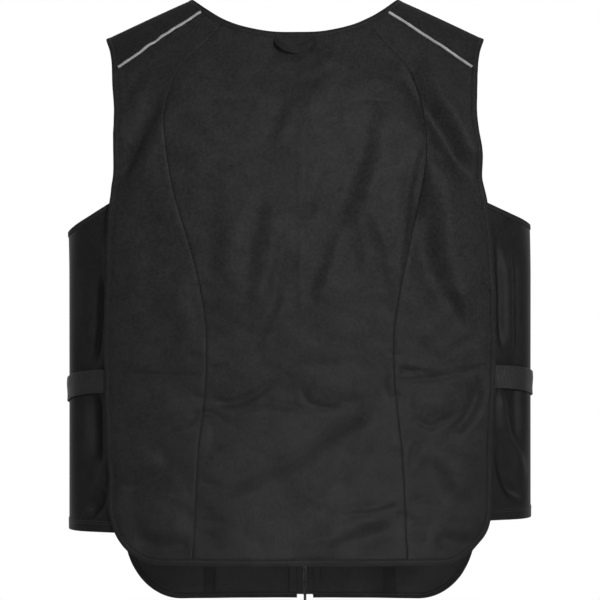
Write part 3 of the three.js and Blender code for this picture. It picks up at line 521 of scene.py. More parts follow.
pipingTipZ = float(heightOf(np.array([pipingTipX, pipingTurn(pipingTipX)])))
backCorner, frontCorner = {"width": 56, "height": 62}, {"width": 63, "height": 76}
zipOpening = 9
backOutline = outlineCurve(backEdge, pipingTipZ, backHem, backCorner, 0, -1)
backInset = shifted(backOutline, -(form["bindingWidth"] + form["gap"]))
frontTopZ = float(heightOf(np.array([float(yokeTip(frontTurn)), frontTurn])))
frontOutline = outlineCurve(frontEdge, frontTopZ, frontHem, frontCorner, zipOpening, 1)
frontInset = shifted(frontOutline, form["bindingWidth"] + form["gap"])
tipTurns = np.linspace(float(pipingTurn(pipingTipX)), frontTurn, 97)
tipCurve = np.stack([yokeTip(tipTurns), tipTurns], -1)
tipInset = shifted(tipCurve, form["bindingWidth"] + form["gap"])


def seamStart(seam, inset):
    # the height where a shaped seam leaves the bound neckline
    z = float(heightOf(inset[0]))
    for _ in range(40):
        z = mix(z, float(heightOf(passing(inset, 0, seam(z)))), 0.5)
    return z


backSeamTop = seamStart(backSeam, backNeckInset)
frontSeamTop = seamStart(frontSeam, frontNeckInset)
zipTop = float(heightOf(neckInset[-1]))


def zipMiddle(z):
    return form["zipDrift"] * np.clip((zipTop - z) / (zipTop - frontHem), 0, 1)


# Mesh making.
bindingShape = {
    "width": 7.2, "across": np.array([0, .02, .07, .16, .3, .46, .62, .74, .85, .93, .98, 1]),
    "crown": 0.25, "stitchAt": 0.62, "stitchLift": 1.45,
}


def crowdedShares(length, step, roll=1.4):
    # shares of a length a step apart, with three more close to each end for a rounded edge
    ends = np.array([0, 0.12, 0.35, 0.7]) * roll / length
    middle = np.linspace(roll / length, 1 - roll / length, max(2, int(round((length - 2 * roll) / step)) + 1))
    return np.concatenate([ends, middle, 1 - ends[::-1]])


def rolledHalf(thickness, shareU, shareV, wide, high, roll=1.4):
    # half the thickness, closing towards all four edges as a quarter ellipse
    toEdge = np.minimum(np.minimum(shareU, 1 - shareU) * wide, np.minimum(shareV, 1 - shareV) * high)
    closing = np.sqrt(np.maximum(0, 1 - (1 - np.clip(toEdge / roll, 0, 1)) ** 2))
    return thickness / 2 * (0.22 + 0.78 * closing)


def gridNormals(points):
    down, along = np.gradient(points, axis=0), np.gradient(points, axis=1)
    return unit(np.cross(along, down))


def gridFaces(rows, columns, first=0):
    at = first + np.arange(rows * columns).reshape(rows, columns)
    return np.stack([at[:-1, :-1], at[1:, :-1], at[1:, 1:], at[:-1, 1:]], -1).reshape(-1, 4)


def capQuads(ring):
    # a ring with an even number of corners, closed by a row of quads
    half = len(ring) // 2
    return np.stack([ring[:half - 1], ring[1:half], ring[half:][::-1][1:], ring[half:][::-1][:-1]], -1)


def meshPiece(name, points, faces, material, nodes=(), uv=None):
    # one mesh from arrays: points in millimetres, faces with four corners each turned outwards, uv in metres
    corners = np.asarray(points)[faces] - np.mean(points, axis=0)
    crossed = np.cross(corners[:, 1], corners[:, 2]) + np.cross(corners[:, 2], corners[:, 3])
    if (corners[:, 0] * crossed).sum() < 0:
        faces = faces[:, ::-1]
    mesh = bpy.data.meshes.new(name)
    mesh.vertices.add(len(points))
    mesh.vertices.foreach_set("co", (np.asarray(points) * mm).astype(np.float32).ravel())
    mesh.loops.add(faces.size)
    mesh.loops.foreach_set("vertex_index", faces.ravel().astype(np.int32))
    mesh.polygons.add(len(faces))
    mesh.polygons.foreach_set("loop_start", np.arange(0, faces.size, 4, dtype=np.int32))
    mesh.polygons.foreach_set("use_smooth", np.ones(len(faces), bool))
    if uv is not None:
        layer = mesh.uv_layers.new(name="cut")
        layer.data.foreach_set("uv", (np.asarray(uv)[faces.ravel()] * mm).astype(np.float32).ravel())
    mesh.update(calc_edges=True)
    mesh.validate()
    piece = bpy.data.objects.new(name, mesh)
    bpy.context.scene.collection.objects.link(piece)
    mesh.materials.append(material)
    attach(piece, "root")
    if nodes:
        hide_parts(*nodes)
    return piece


def closedWall(name, middle, half, uv, material, nodes=()):
    # two skins half a thickness to either side of a middle surface, joined by a rim
    rows, columns = middle.shape[:2]
    normals = gridNormals(middle)
    half = np.broadcast_to(half, (rows, columns))[..., None]
    outer, inner = (middle + normals * half).reshape(-1, 3), (middle - normals * half).reshape(-1, 3)
    size = rows * columns
    at = np.arange(size).reshape(rows, columns)
    border = np.concatenate([at[0, :-1], at[:-1, -1], at[-1, :0:-1], at[:0:-1, 0]])
    following = np.roll(border, -1)
    front, back = gridFaces(rows, columns), gridFaces(rows, columns, size)[:, ::-1]
    rim = np.stack([border, following, following + size, border + size], -1)
    faces = np.concatenate([front, back, rim])
    points = np.concatenate([outer, inner])
    both = np.concatenate([uv.reshape(-1, 2), uv.reshape(-1, 2)])
    return meshPiece(name, points, faces, material, nodes, both)


def coonsPatch(left, right, top, bottom, shareU, shareV):
    # the blend of the left and right curves, plus that of the top and bottom ones, less that of the corners
    l, r = resampled(left, shareV)[:, None], resampled(right, shareV)[:, None]
    t, b = resampled(top, shareU)[None], resampled(bottom, shareU)[None]
    u, v = shareU[None, :, None], shareV[:, None, None]
    sidesBlend = mix(l, r, u)
    endsBlend = mix(t, b, v)
    cornersBlend = mix(mix(l[:1], r[:1], u), mix(l[-1:], r[-1:], u), v)
    return sidesBlend + endsBlend - cornersBlend


def pressed(x, z):
    # the back's cloth is pressed down beside its binding: a bell of the distance from the tape's inner edge
    drop = np.clip((backHem + backCorner["height"] - z) / backCorner["height"], 0, 1)
    edge = backEdge(np.maximum(z, backHem + backCorner["height"])) - backCorner["width"] * (1 - np.sqrt(1 - drop**2))
    toEdge, toHem = edge - bindingShape["width"] - x, z - backHem - bindingShape["width"]
    return 0.55 * np.maximum(np.exp(-((toEdge / 1.8) ** 2)), np.exp(-((toHem / 1.8) ** 2)))


def clothPanel(name, curves, sign, step, node, seam, material):
    # a panel cut along four curves and set on the form, with its seam's relief
    left, right, top, bottom = curves
    wide = max(lengthsAlong(top)[-1], lengthsAlong(bottom)[-1])
    high = max(lengthsAlong(left)[-1], lengthsAlong(right)[-1])
    shareU, shareV = crowdedShares(wide, step), crowdedShares(high, step)
    cut = coonsPatch(left, right, top, bottom, shareU, shareV)
    x, s = cut[..., 0] * sign, cut[..., 1]
    z = formPoint(x, s)[..., 2]
    height = 0 * x
    if seam is not None:
        height = seamLine(np.abs(x) - seam(z)) * smooth(np.abs(s), 0.5, 0.9)
    if s.max() < 0 and s.min() < -1.7:
        height = height - pressed(np.abs(x), z)
    middle = vestPoint(x, s, height)
    half = rolledHalf(form["panel"], shareU[None], shareV[:, None], wide, high)
    uv = np.stack([x, -s * form["arch"]], -1)
    piece = closedWall(name, middle, half, uv, material, [node])


# Materials.
def startMaterial(name, roughness, specular, metallic=0.0):
    material = bpy.data.materials.new(name)
    material.use_nodes = True
    tree = material.node_tree
    shader = tree.nodes["Principled BSDF"]
    shader.inputs["Roughness"].default_value = roughness
    shader.inputs["Specular IOR Level"].default_value = specular
    shader.inputs["Metallic"].default_value = metallic
    return material, tree, shader


def mathNode(tree, operation, a, b=0.5, c=0.0):
    node = tree.nodes.new("ShaderNodeMath")
    node.operation = operation
    for k, value in enumerate((a, b, c)):
        if isinstance(value, (int, float)):
            node.inputs[k].default_value = value
        else:
            tree.links.new(value, node.inputs[k])
    return node.outputs[0]


def bands(tree, coordinate, pitch, direction, distortion=0.0):
    # even bands across one direction of the cut, a pitch apart in metres
    node = tree.nodes.new("ShaderNodeTexWave")
    node.wave_type, node.bands_direction, node.wave_profile = "BANDS", direction, "SIN"
    node.inputs["Scale"].default_value = np.pi / (10 * pitch)
    node.inputs["Distortion"].default_value = distortion
    node.inputs["Detail"].default_value = 1
    tree.links.new(coordinate, node.inputs["Vector"])
    return node.outputs["Fac"]


def noise(tree, coordinate, size, detail=3, roughness=0.55):
    node = tree.nodes.new("ShaderNodeTexNoise")
    node.inputs["Scale"].default_value = 1 / size
    node.inputs["Detail"].default_value = detail
    node.inputs["Roughness"].default_value = roughness
    tree.links.new(coordinate, node.inputs["Vector"])
    return node.outputs["Fac"]


def spread(tree, value, low, high, toHigh=1):
    # a value from low to high as 0 to another height
    node = tree.nodes.new("ShaderNodeMapRange")
    for k, number in enumerate((low, high, 0, toHigh)):
        node.inputs[k + 1].default_value = number
    tree.links.new(value, node.inputs[0])
    return node.outputs[0]


def colourBetween(tree, shader, factor, dark, light):
    node = tree.nodes.new("ShaderNodeMix")
    node.data_type = "RGBA"
    node.inputs[6].default_value = (*dark, 1)
    node.inputs[7].default_value = (*light, 1)
    tree.links.new(factor, node.inputs[0])
    tree.links.new(node.outputs[2], shader.inputs["Base Color"])


def bump(tree, shader, height, strength, distance):
    node = tree.nodes.new("ShaderNodeBump")
    node.inputs["Strength"].default_value = strength
    node.inputs["Distance"].default_value = distance
    tree.links.new(height, node.inputs["Height"])
    tree.links.new(node.outputs[0], shader.inputs["Normal"])


def coordinates(tree):
    node = tree.nodes.new("ShaderNodeTexCoord")
    return node.outputs["UV"], node.outputs["Object"]


def grey(tone):
    return tone, tone, tone


def wovenMaterial(name, look):
    # a plain weave: two sets of bands on the cut, with soft patches of wear and a little lint
    material, tree, shader = startMaterial(name, look["roughness"], look["specular"])
    cut, place = coordinates(tree)
    across = bands(tree, cut, look["pitchAcross"], "X", look["wander"])
    along = bands(tree, cut, look["pitchAlong"], "Y", look["wander"])
    rest = mathNode(tree, "MULTIPLY", along, 1 - look["acrossShare"])
    weave = mathNode(tree, "MULTIPLY_ADD", across, look["acrossShare"], rest)
    patches = mathNode(tree, "MULTIPLY_ADD", spread(tree, noise(tree, place, 0.018, 5), 0.35, 0.65), 0.3,
                       spread(tree, noise(tree, place, 0.003, 3, 0.7), 0.38, 0.62, 0.62))
    lint = spread(tree, noise(tree, place, 0.0011, 2), 0.7, 0.82, look["lint"])
    tone = mathNode(tree, "MULTIPLY_ADD", patches, 0.68, mathNode(tree, "MULTIPLY_ADD", weave, 0.35, lint))
    colourBetween(tree, shader, tone, look["dark"], look["light"])
    grain = mathNode(tree, "MULTIPLY_ADD", noise(tree, place, 0.0016, 3), 0.5, weave)
    crumple = noise(tree, place, look["crumpleSize"], 4, 0.6)
    bump(tree, shader, mathNode(tree, "MULTIPLY_ADD", crumple, look["crumple"], grain), look["bump"], look["depth"])
    return material


shellLook = {
    "dark": grey(0.0026), "light": (0.0098, 0.0098, 0.0097), "roughness": 0.62, "specular": 0.05,
    "crumple": 11, "crumpleSize": 0.005, "pitchAcross": 0.00062, "pitchAlong": 0.0005, "acrossShare": 0.5,
    "wander": 0.6, "lint": 0.25, "bump": 0.35, "depth": 0.00012,
}
yokeLook = {**shellLook, "crumple": 1.2, "bump": 0.2, "roughness": 0.8, "specular": 0.04}
stretchLook = {**shellLook, "dark": grey(0.0018), "light": grey(0.0058), "roughness": 0.5, "crumple": 1,
               "pitchAcross": 0.0011, "pitchAlong": 0.0008, "acrossShare": 0.75, "bump": 0.4, "lint": 0.12}
bindingLook = {**shellLook, "dark": grey(0.003), "light": grey(0.0085), "crumple": 1, "pitchAcross": 0.0009,
               "pitchAlong": 0.0012, "acrossShare": 0.35, "bump": 0.4, "roughness": 0.75, "specular": 0.04}
webbingLook = {**shellLook, "dark": grey(0.001), "light": grey(0.0078), "crumple": 1, "pitchAcross": 0.0017,
               "pitchAlong": 0.0021, "acrossShare": 0.72, "bump": 0.9, "depth": 0.0003, "roughness": 0.48,
               "specular": 0.1}
zipTapeLook = {**shellLook, "pitchAcross": 0.001, "pitchAlong": 0.0007, "bump": 0.5}
threadLook = {**shellLook, "dark": grey(0.0045), "light": grey(0.011), "pitchAcross": 0.0004,
              "pitchAlong": 0.0004, "bump": 0.3, "specular": 0.2, "roughness": 0.45}
shellCloth = wovenMaterial("shellCloth", shellLook)
yokeCloth = wovenMaterial("yokeCloth", yokeLook)
stretchCloth = wovenMaterial("stretchCloth", stretchLook)
bindingTape = wovenMaterial("bindingTape", bindingLook)
webbing = wovenMaterial("webbing", webbingLook)
zipCloth = wovenMaterial("zipCloth", zipTapeLook)
thread = wovenMaterial("thread", threadLook)


def pipingMaterial():
    # fine glass-bead grain on grey cloth, scuffed darker in places
    material, tree, shader = startMaterial("reflectivePiping", 0.5, 0.25)
    _, place = coordinates(tree)
    scuff = spread(tree, noise(tree, place, 0.012, 4), 0.35, 0.7)
    grain = noise(tree, place, 0.0007, 2)
    tone = mathNode(tree, "MULTIPLY_ADD", scuff, 0.7, mathNode(tree, "MULTIPLY", grain, 0.3))
    colourBetween(tree, shader, tone, (0.072, 0.073, 0.075), (0.135, 0.137, 0.14))
    bump(tree, shader, grain, 0.3, 0.00012)
    return material


def toothMaterial():
    # blackened metal, worn bright on the parts that rub
    material, tree, shader = startMaterial("zipMetal", 0.33, 0.5, 0.85)
    _, place = coordinates(tree)
    worn = spread(tree, noise(tree, place, 0.004, 4), 0.55, 0.7)
    colourBetween(tree, shader, worn, (0.003, 0.003, 0.0033), (0.12, 0.12, 0.123))
    bump(tree, shader, noise(tree, place, 0.0009, 3), 0.25, 0.0001)
    return material


pipingCloth = pipingMaterial()
zipMetal = toothMaterial()
print("materials made")

# Back, shoulder and front panels.
panelLook = {"backStep": 2.0, "frontStep": 3.2, "yokeStep": 2.2, "overlap": 0.12}


def seamCurve(seam, top, bottom, offset, face):
    z = np.linspace(top, bottom, 281)
    return pattern(seam(z) + offset, z, face)


backFootZ = float(heightOf(backInset[-1]))
frontFootZ = float(heightOf(frontInset[-1]))
overlap = panelLook["overlap"]
pipingLower, pipingUpper = shifted(pipingCurve, overlap), shifted(pipingCurve, -overlap)
seamTopX = float(backSeam(backSeamTop))
middleNeck = backNeckInset[backNeckInset[:, 0] < seamTopX]
neckToSeam = np.concatenate([middleNeck, passing(backNeckInset, 0, seamTopX)[None]])
mirroredNeck = np.concatenate([neckToSeam[::-1] * [-1, 1], neckToSeam[1:]])
rightSeam = seamCurve(backSeam, backSeamTop, backFootZ, overlap, -1)
footX = rightSeam[-1, 0]
footLine = pattern(np.linspace(-footX, footX, 81), backFootZ, -1)
clothPanel("back_centre_cloth", (rightSeam * [-1, 1], rightSeam, mirroredNeck, footLine), 1,
           panelLook["backStep"], "back_centre_panel", backSeam, shellCloth)

sideSeam = seamCurve(backSeam, backSeamTop, backFootZ, -overlap, -1)
onSideNeck = (backNeckInset[:, 0] > seamTopX + 0.5) & (backNeckInset[:, 0] < pipingLower[0, 0] - 0.8)
neckPart = backNeckInset[onSideNeck][::-1]
sideLeft = np.concatenate([pipingLower[:1], neckPart, sideSeam])
armLine = backInset[:armPoints]
armLine = armLine[heightOf(armLine) < heightOf(pipingLower[-1]) - 1]
sideRight = np.concatenate([pipingLower[-1:], armLine])
sideFoot = pattern(np.linspace(sideSeam[-1, 0], armLine[-1, 0], 61), backFootZ, -1)
yokeNeck = neckInset[(neckInset[:, 1] > pipingUpper[0, 1] + 0.01) & (neckInset[:, 1] < frontTurn - 0.01)]
yokeFrontLow = frontTurn + overlap / form["arch"]
yokeFrontHigh = frontTurn - overlap / form["arch"]
yokeNeckEnd = passing(neckInset[110:200], 1, yokeFrontLow)
yokeLeft = np.concatenate([pipingUpper[:1], yokeNeck, yokeNeckEnd[None]])
yokeTipLine = tipInset[(tipInset[:, 1] > pipingUpper[-1, 1] + 0.01) & (tipInset[:, 1] < frontTurn - 0.01)]
yokeRight = np.concatenate([pipingUpper[-1:], yokeTipLine, passing(tipInset, 1, yokeFrontLow)[None]])
yokeBottom = np.stack([np.linspace(yokeLeft[-1, 0], yokeRight[-1, 0], 61), np.full(61, yokeFrontLow)], -1)

frontSeamX = float(frontSeam(frontSeamTop))
frontSideSeam = seamCurve(frontSeam, frontSeamTop, frontFootZ, -overlap, 1)
onFrontNeck = (neckInset[:, 1] > yokeFrontHigh + 0.01) & (neckInset[:, 0] > frontSeamX + 0.5) & (neckSteps > 0.5)
frontLeft = np.concatenate([[[yokeNeckEnd[0], yokeFrontHigh]], neckInset[onFrontNeck], frontSideSeam])
frontArm = frontInset[:armPoints]
frontArm = frontArm[frontArm[:, 1] > yokeFrontHigh + 0.01]
frontRight = np.concatenate([[[yokeRight[-1, 0], yokeFrontHigh]], frontArm])
frontTop = np.stack([np.linspace(frontLeft[0, 0], frontRight[0, 0], 61), np.full(61, yokeFrontHigh)], -1)
frontFoot = pattern(np.linspace(frontSideSeam[-1, 0], frontArm[-1, 0], 61), frontFootZ, 1)
frontMiddleSeam = seamCurve(frontSeam, frontSeamTop, frontFootZ, overlap, 1)
for sideName, side in sides.items():
    sign = side["sign"]
    zipZ = np.linspace(float(heightOf(passing(frontNeckInset, 0, zipOpening))), frontFootZ, 221)
    zipEdge = pattern(zipOpening + sign * zipMiddle(zipZ), zipZ, 1)
    neckOut = frontNeckInset[:, 0]
    neckRun = frontNeckInset[(neckOut > zipOpening + 0.4) & (neckOut < frontSeamX - 0.4)][::-1]
    neckRun = np.concatenate([zipEdge[:1], neckRun, frontMiddleSeam[:1]])
    zipFoot = pattern(np.linspace(zipEdge[-1, 0], frontMiddleSeam[-1, 0], 41), frontFootZ, 1)
    panels = (
        ("back_side_cloth", (sideLeft, sideRight, pipingLower, sideFoot), "backStep", "back_side_panel", backSeam),
        ("yoke_cloth", (yokeLeft, yokeRight, pipingUpper, yokeBottom), "yokeStep", "shoulder_yoke", None),
        ("front_side_cloth", (frontLeft, frontRight, frontTop, frontFoot), "frontStep", "front_side_panel",
         frontSeam),
        ("front_centre_cloth", (zipEdge, frontMiddleSeam, neckRun, zipFoot), "frontStep", "front_centre_panel",
         frontSeam),
    )
    for name, curves, step, node, seam in panels:
        clothPanel(f"{name}_{sideName}", curves, sign, panelLook[step], f"{node}_{sideName}", seam,
                   shellCloth if seam else yokeCloth)
print("panels made")

# Bindings, stitches and piping.
stitchShape = {"pitch": 3.0, "length": 2.3, "radius": 0.3}


def mirroredCurve(curve):
    return np.concatenate([curve[:0:-1] * [-1, 1], curve])


def flatStrip(name, curve, beside, offset, thickness, across, material, node, profile=1.0):
    # a band between a curve and a second one beside it, with rounded edges
    grid = mix(curve[:, None], beside[:, None], across[None, :, None])
    x, s = grid[..., 0], grid[..., 1]
    middle = vestPoint(x, s, offset)
    width = float(np.median(np.linalg.norm(middle[:, -1] - middle[:, 0], axis=-1)))
    lengths = runLengths(middle[:, 0])
    toEdge = np.minimum(across, 1 - across) * width
    closing = np.sqrt(np.maximum(0, 1 - (1 - np.clip(toEdge / min(1.2, 1.2 * thickness), 0, 1)) ** 2))
    half = thickness / 2 * (0.2 + 0.8 * closing) * profile
    uv = np.stack(np.broadcast_arrays(across[None] * width, lengths[:, None]), -1)
    piece = closedWall(name, middle, half[None], uv, material, [node])
    print(f"{name}: cut {width:.1f} x {lengths[-1]:.0f} mm")
    return piece, width, lengths[-1]


def repeated(name, centres, along, outward, template, faces, material, nodes=()):
    # the template stands once at each centre, with its x along the path and its z outwards
    across = unit(np.cross(outward, along))
    up = np.cross(along, across)
    axes = np.stack([along, across, up], 1)
    points = centres[:, None] + np.einsum("pk,nkc->npc", template, axes)
    all4 = (faces[None] + (np.arange(len(centres)) * len(template))[:, None, None]).reshape(-1, 4)
    noCut = np.zeros((len(centres) * len(template), 2))
    return meshPiece(name, points.reshape(-1, 3), all4, material, nodes, noCut)


def capsule(length, radius, around=6):
    # a closed bar: rings of points from one pole to the other, the poles as small rings
    at = np.array([-0.5, -0.4, -0.2, 0.2, 0.4, 0.5])[:, None] * length
    thick = np.array([0.15, 0.8, 1, 1, 0.8, 0.15])[:, None] * radius
    turn = np.arange(around) * 2 * np.pi / around
    points = np.stack(np.broadcast_arrays(at, thick * np.cos(turn), thick * np.sin(turn)), -1)
    ring = np.arange(6 * around).reshape(6, around)
    faces = np.stack([ring[:-1], np.roll(ring, -1, 1)[:-1], np.roll(ring, -1, 1)[1:], ring[1:]], -1).reshape(-1, 4)
    return points.reshape(-1, 3), np.concatenate([faces, capQuads(ring[0])[:, ::-1], capQuads(ring[-1])])


stitchBar, stitchFaces = capsule(stitchShape["length"], stitchShape["radius"])


def stitchRows(name, rows):
    # rows of stitches along lines on the cloth, each line with the outward direction at its points
    centres, ways, outs = [], [], []
    for line, outward in rows:
        along = runLengths(line)
        at = np.arange(stitchShape["pitch"], along[-1] - stitchShape["pitch"], stitchShape["pitch"])
        centres.append(readAlong(at, along, line))
        ways.append(unit(readAlong(at + 0.5, along, line) - readAlong(at - 0.5, along, line)))
        outs.append(unit(readAlong(at, along, outward)))
    return repeated(name, np.concatenate(centres), np.concatenate(ways), np.concatenate(outs), stitchBar,
                    stitchFaces, thread)


def lineOn(curve, offset):
    # a line of points over the cloth along a pattern curve, with the outward directions
    x, s = curve[:, 0], curve[:, 1]
    return vestPoint(x, s, offset), formNormal(x, s) * np.sign(offset)


neckEnd = 3.0
keptNeck = (neckCurve[:, 1] < 0) | (neckCurve[:, 0] > neckEnd)
neckOuter = mirroredCurve(neckCurve[keptNeck])
neckInner = mirroredCurve(shifted(neckCurve, -bindingShape["width"] - form["gap"])[keptNeck])
backOuterCurve = mirroredCurve(backOutline[::-1])
backInnerCurve = mirroredCurve(shifted(backOutline, -bindingShape["width"])[::-1])
frontOuterCurve = np.concatenate([tipCurve[:-1], frontOutline])
frontInnerCurve = shifted(frontOuterCurve, bindingShape["width"])
crown = 1 + bindingShape["crown"] * (np.exp(-((bindingShape["across"] - 0.25) / 0.25) ** 2) - 0.5)


def followZip(curve, sign):
    # the front hem's end follows the zip's own line
    x, s = curve[:, 0], curve[:, 1]
    z = heightOf(curve)
    near = np.clip((frontSeam(z) - x) / (frontSeam(z) - zipOpening), 0, 1)
    return np.where((s > halfPi)[:, None], pattern(x + sign * zipMiddle(z) * near, z, 1), curve)


def boundEdge(name, outer, inner, faces):
    # the tape over an edge, stitched on one or both of its faces
    flatStrip(f"{name}_tape", outer, inner, 0, form["binding"], bindingShape["across"], bindingTape,
              name, crown)
    path = mix(outer, inner, bindingShape["stitchAt"])
    stitchRows(f"{name}_stitches", [lineOn(path, face * bindingShape["stitchLift"]) for face in faces])


boundEdge("neck_binding", neckOuter, neckInner, (1, -1))
boundEdge("back_edge_binding", backOuterCurve, backInnerCurve, (1,))
for sideName, side in sides.items():
    sign = side["sign"]
    boundEdge(f"front_edge_binding_{sideName}", followZip(frontOuterCurve, sign) * [sign, 1],
              followZip(frontInnerCurve, sign) * [sign, 1], (1, -1))


def tube(name, line, radius, around, material, nodes, squash, outward):
    # a round section carried along a line, closed at both ends by shrinking rings
    way = unit(np.gradient(line, axis=0))
    out = unit(outward - (outward * way).sum(1, keepdims=True) * way)
    across = np.cross(way, out)
    turn = np.arange(around) * 2 * np.pi / around
    radius = np.broadcast_to(radius, (len(line),))
    points = line[:, None] + radius[:, None, None] * (across[:, None] * np.cos(turn)[None, :, None]
                                                      + squash * out[:, None] * np.sin(turn)[None, :, None])
    ends = np.stack([line[0] + 0 * points[0], line[-1] + 0 * points[-1]])
    points = np.concatenate([mix(ends[:1], points[:1], 0.05), mix(ends[:1], points[:1], 0.7), points,
                             mix(ends[1:], points[-1:], 0.7), mix(ends[1:], points[-1:], 0.05)])
    rows = len(points)
    ring = np.arange(rows * around).reshape(rows, around)
    faces = np.stack([ring[:-1], ring[1:], np.roll(ring, -1, 1)[1:], np.roll(ring, -1, 1)[:-1]], -1).reshape(-1, 4)
    faces = np.concatenate([faces, capQuads(ring[0]), capQuads(ring[-1])[:, ::-1]])
    uv = np.stack(np.broadcast_arrays(turn[None] * radius.mean(), np.arange(rows)[:, None] * 1.0), -1).reshape(-1, 2)
    return meshPiece(name, points.reshape(-1, 3), faces, material, nodes, uv)


pipingShape = {"radius": 1.7, "lift": 1.25, "waver": {"left": 0.5, "right": 0.12}}
for sideName, side in sides.items():
    x, s = pipingCurve[:, 0] * side["sign"], pipingCurve[:, 1]
    share = np.linspace(0, 1, len(x))
    waver = pipingShape["waver"][sideName]
    line = vestPoint(x, s, pipingShape["lift"] + waver * 0.5 * np.sin(31 * share))
    line[:, 2] += waver * (np.sin(19 * share + 1) + 0.6 * np.sin(43 * share)) * np.sin(np.pi * share)
    tube(f"piping_{sideName}", line, pipingShape["radius"] * (1 + 0.05 * np.sin(57 * share)), 12, pipingCloth,
         [f"reflective_piping_{sideName}"], 1.0, formNormal(x, s))
print("bindings and piping made")

# Side panels, hems and straps.
sideStrength = 2.6
sideMesh = {"across": 250, "down": 320, "stepAcross": 3.4, "stepDown": 2.6, "strapStep": 1.8}
strapOffset = -(form["binding"] / 2 + form["gap"] + form["strap"] / 2)
strapToSide = form["strap"] / 2 + 2 * form["gap"] + form["side"] / 2
sideOffset = strapOffset - strapToSide
# across is 100 at the back panel's edge, 0 at the side's middle and -100 at the front panel's edge
sideCreases = {
    "left": [
        ([(88, -222), (84, -290), (90, -368)], 7, -.8, .2), ([(66, -240), (62, -300), (68, -366)], 8, 1.2, 0),
        ([(90, -270), (84, -325), (70, -374)], 8, -2.4, 0), ([(80, -392), (74, -430), (78, -480)], 10, -2.9, 0),
        ([(96, -498), (60, -534)], 7, -2.6, 0), ([(99, -478), (66, -514)], 6, 1.3, 0),
    ],
    "right": [
        ([(96, -208), (88, -262), (86, -330), (88, -368)], 6, -2.6, .2), ([(70, -240), (68, -368)], 8, 2.0, 0),
        ([(58, -240), (58, -366)], 4, -1.1, 0), ([(96, -446), (70, -494), (40, -512)], 6, -2.3, .3),
        ([(90, -385), (72, -444), (40, -494)], 7, 2.1, 0), ([(56, -380), (54, -452)], 6, -1.2, 0),
    ],
}
sideCreases = {
    name: [(bowed(line), width, sideStrength * rise, flank) for line, width, rise, flank in rows]
    for name, rows in sideCreases.items()
}


def angleOf(x):
    return np.arccos(np.clip(x / formHalf, 0, 1) ** (form["roundness"] / 2))


def sidePlace(side, angle, z, offset):
    # the upright wall in plan: a rounded box met at an angle from the side's middle, moved out by an offset
    power = 2 / form["roundness"]
    depth = depthAt(z, angle)
    along, across = np.cos(angle), np.sin(angle)
    x = formHalf * along**power
    outDepth = np.sign(across) * np.abs(across) ** (2 - power) / depth
    normal = unit(np.stack([along ** (2 - power) / formHalf, outDepth, 0 * x], -1))
    wide = side["sign"] * x
    folds = np.where(angle < 0, foldsOf(backFolds, wide, z), foldsOf(frontFolds, wide, z))
    small = np.where(angle < 0, creaseHeight(wide, z, backCreases), creaseHeight(wide, z, frontCreases))
    small = small * creases["strength"] + unevenness(wide, z)
    nearPanel = smooth(towardsEdge(angle, z), 0.75, 1.0)
    point = np.stack([x, depth * np.sign(across) * np.abs(across) ** power, z + 0 * x], -1)
    point = point + normal * (offset + folds + small * nearPanel)[..., None]
    point[..., 0] = side["sign"] * point[..., 0] + leanAt(point[..., 2])
    return point


def edgeAngle(angle, z, tuck):
    return np.where(angle < 0, angleOf(backEdge(z) - tuck), angleOf(frontEdge(z) - tuck))


def towardsEdge(angle, z):
    return np.abs(angle) / edgeAngle(angle, z, 0)


def tuckedOffset(near, edgeOffset, middleOffset):
    return mix(middleOffset, edgeOffset, smooth(near, 0.45, 0.95))


def sideClothOffset(near, down):
    sink = np.exp(-(((near - 0.66) / 0.2) ** 2)) * smooth(down, 0, 0.15)
    return tuckedOffset(near, sideOffset, 0) - form["hollow"] * sink * (1 - smooth(down, 0.9, 1))


def armholeHeight(side, angle):
    edgeTop = form["neckRise"] - form["armholeDrop"] * side["armEdge"]
    middleTop = form["neckRise"] - form["armholeDrop"] * side["armMiddle"]
    inner = formHalf * np.cos(edgeAngle(angle, edgeTop, 0)) ** (2 / form["roundness"])
    x = formHalf * np.cos(angle) ** (2 / form["roundness"])
    return mix(edgeTop, middleTop, np.clip((x - inner) / (formHalf - inner), 0, 1))


def sideGrid(sideName, shareAcross, shareDownwards, high, low):
    # points of the side between two heights, each worked out from the armhole's height there
    side = sides[sideName]
    edgeTop = form["neckRise"] - form["armholeDrop"] * side["armEdge"]
    across = mix(-1.0, 1.0, shareAcross)[None]
    top = armholeHeight(side, across * edgeAngle(across, edgeTop, form["underlap"]))
    z = mix(high(top), low(top), shareDownwards[:, None])
    angle = across * edgeAngle(across, z, form["underlap"])
    share = np.clip((top - z) / (top - (form["neckRise"] - form["hemDrop"] * side["hem"])), 0, 1)
    near = towardsEdge(angle, z)
    own = creaseHeight(-np.sign(angle) * near * 100, z, sideCreases[sideName]) * (1 - smooth(near, 0.86, 0.98))
    own = own * smooth(share, 0.02, 0.12) * (1 - smooth(share, 0.93, 1.0))
    return sidePlace(side, angle, z, sideClothOffset(near, share) + own)


def gridSizes(middle):
    wide = np.linalg.norm(np.diff(middle, axis=1), axis=-1).sum(1).mean()
    high = np.linalg.norm(np.diff(middle, axis=0), axis=-1).sum(0).mean()
    return float(wide), float(high)


def gridUv(middle):
    wide = np.cumsum(np.pad(np.linalg.norm(np.diff(middle, axis=1), axis=-1), ((0, 0), (1, 0))), 1)
    high = np.cumsum(np.pad(np.linalg.norm(np.diff(middle, axis=0), axis=-1), ((1, 0), (0, 0))), 0)
    return np.stack([wide - wide[:, wide.shape[1] // 2][:, None], high], -1)


def sidePiece(name, middle, shareU, shareV, thickness, material, node, roll):
    wide, high = gridSizes(middle)
    half = rolledHalf(thickness, shareU[None], shareV[:, None], wide, high, roll)
    piece = closedWall(name, middle, half, gridUv(middle), material, [node])
    print(f"{name}: cut {wide:.0f} x {high:.0f} mm")
    return piece, wide, high


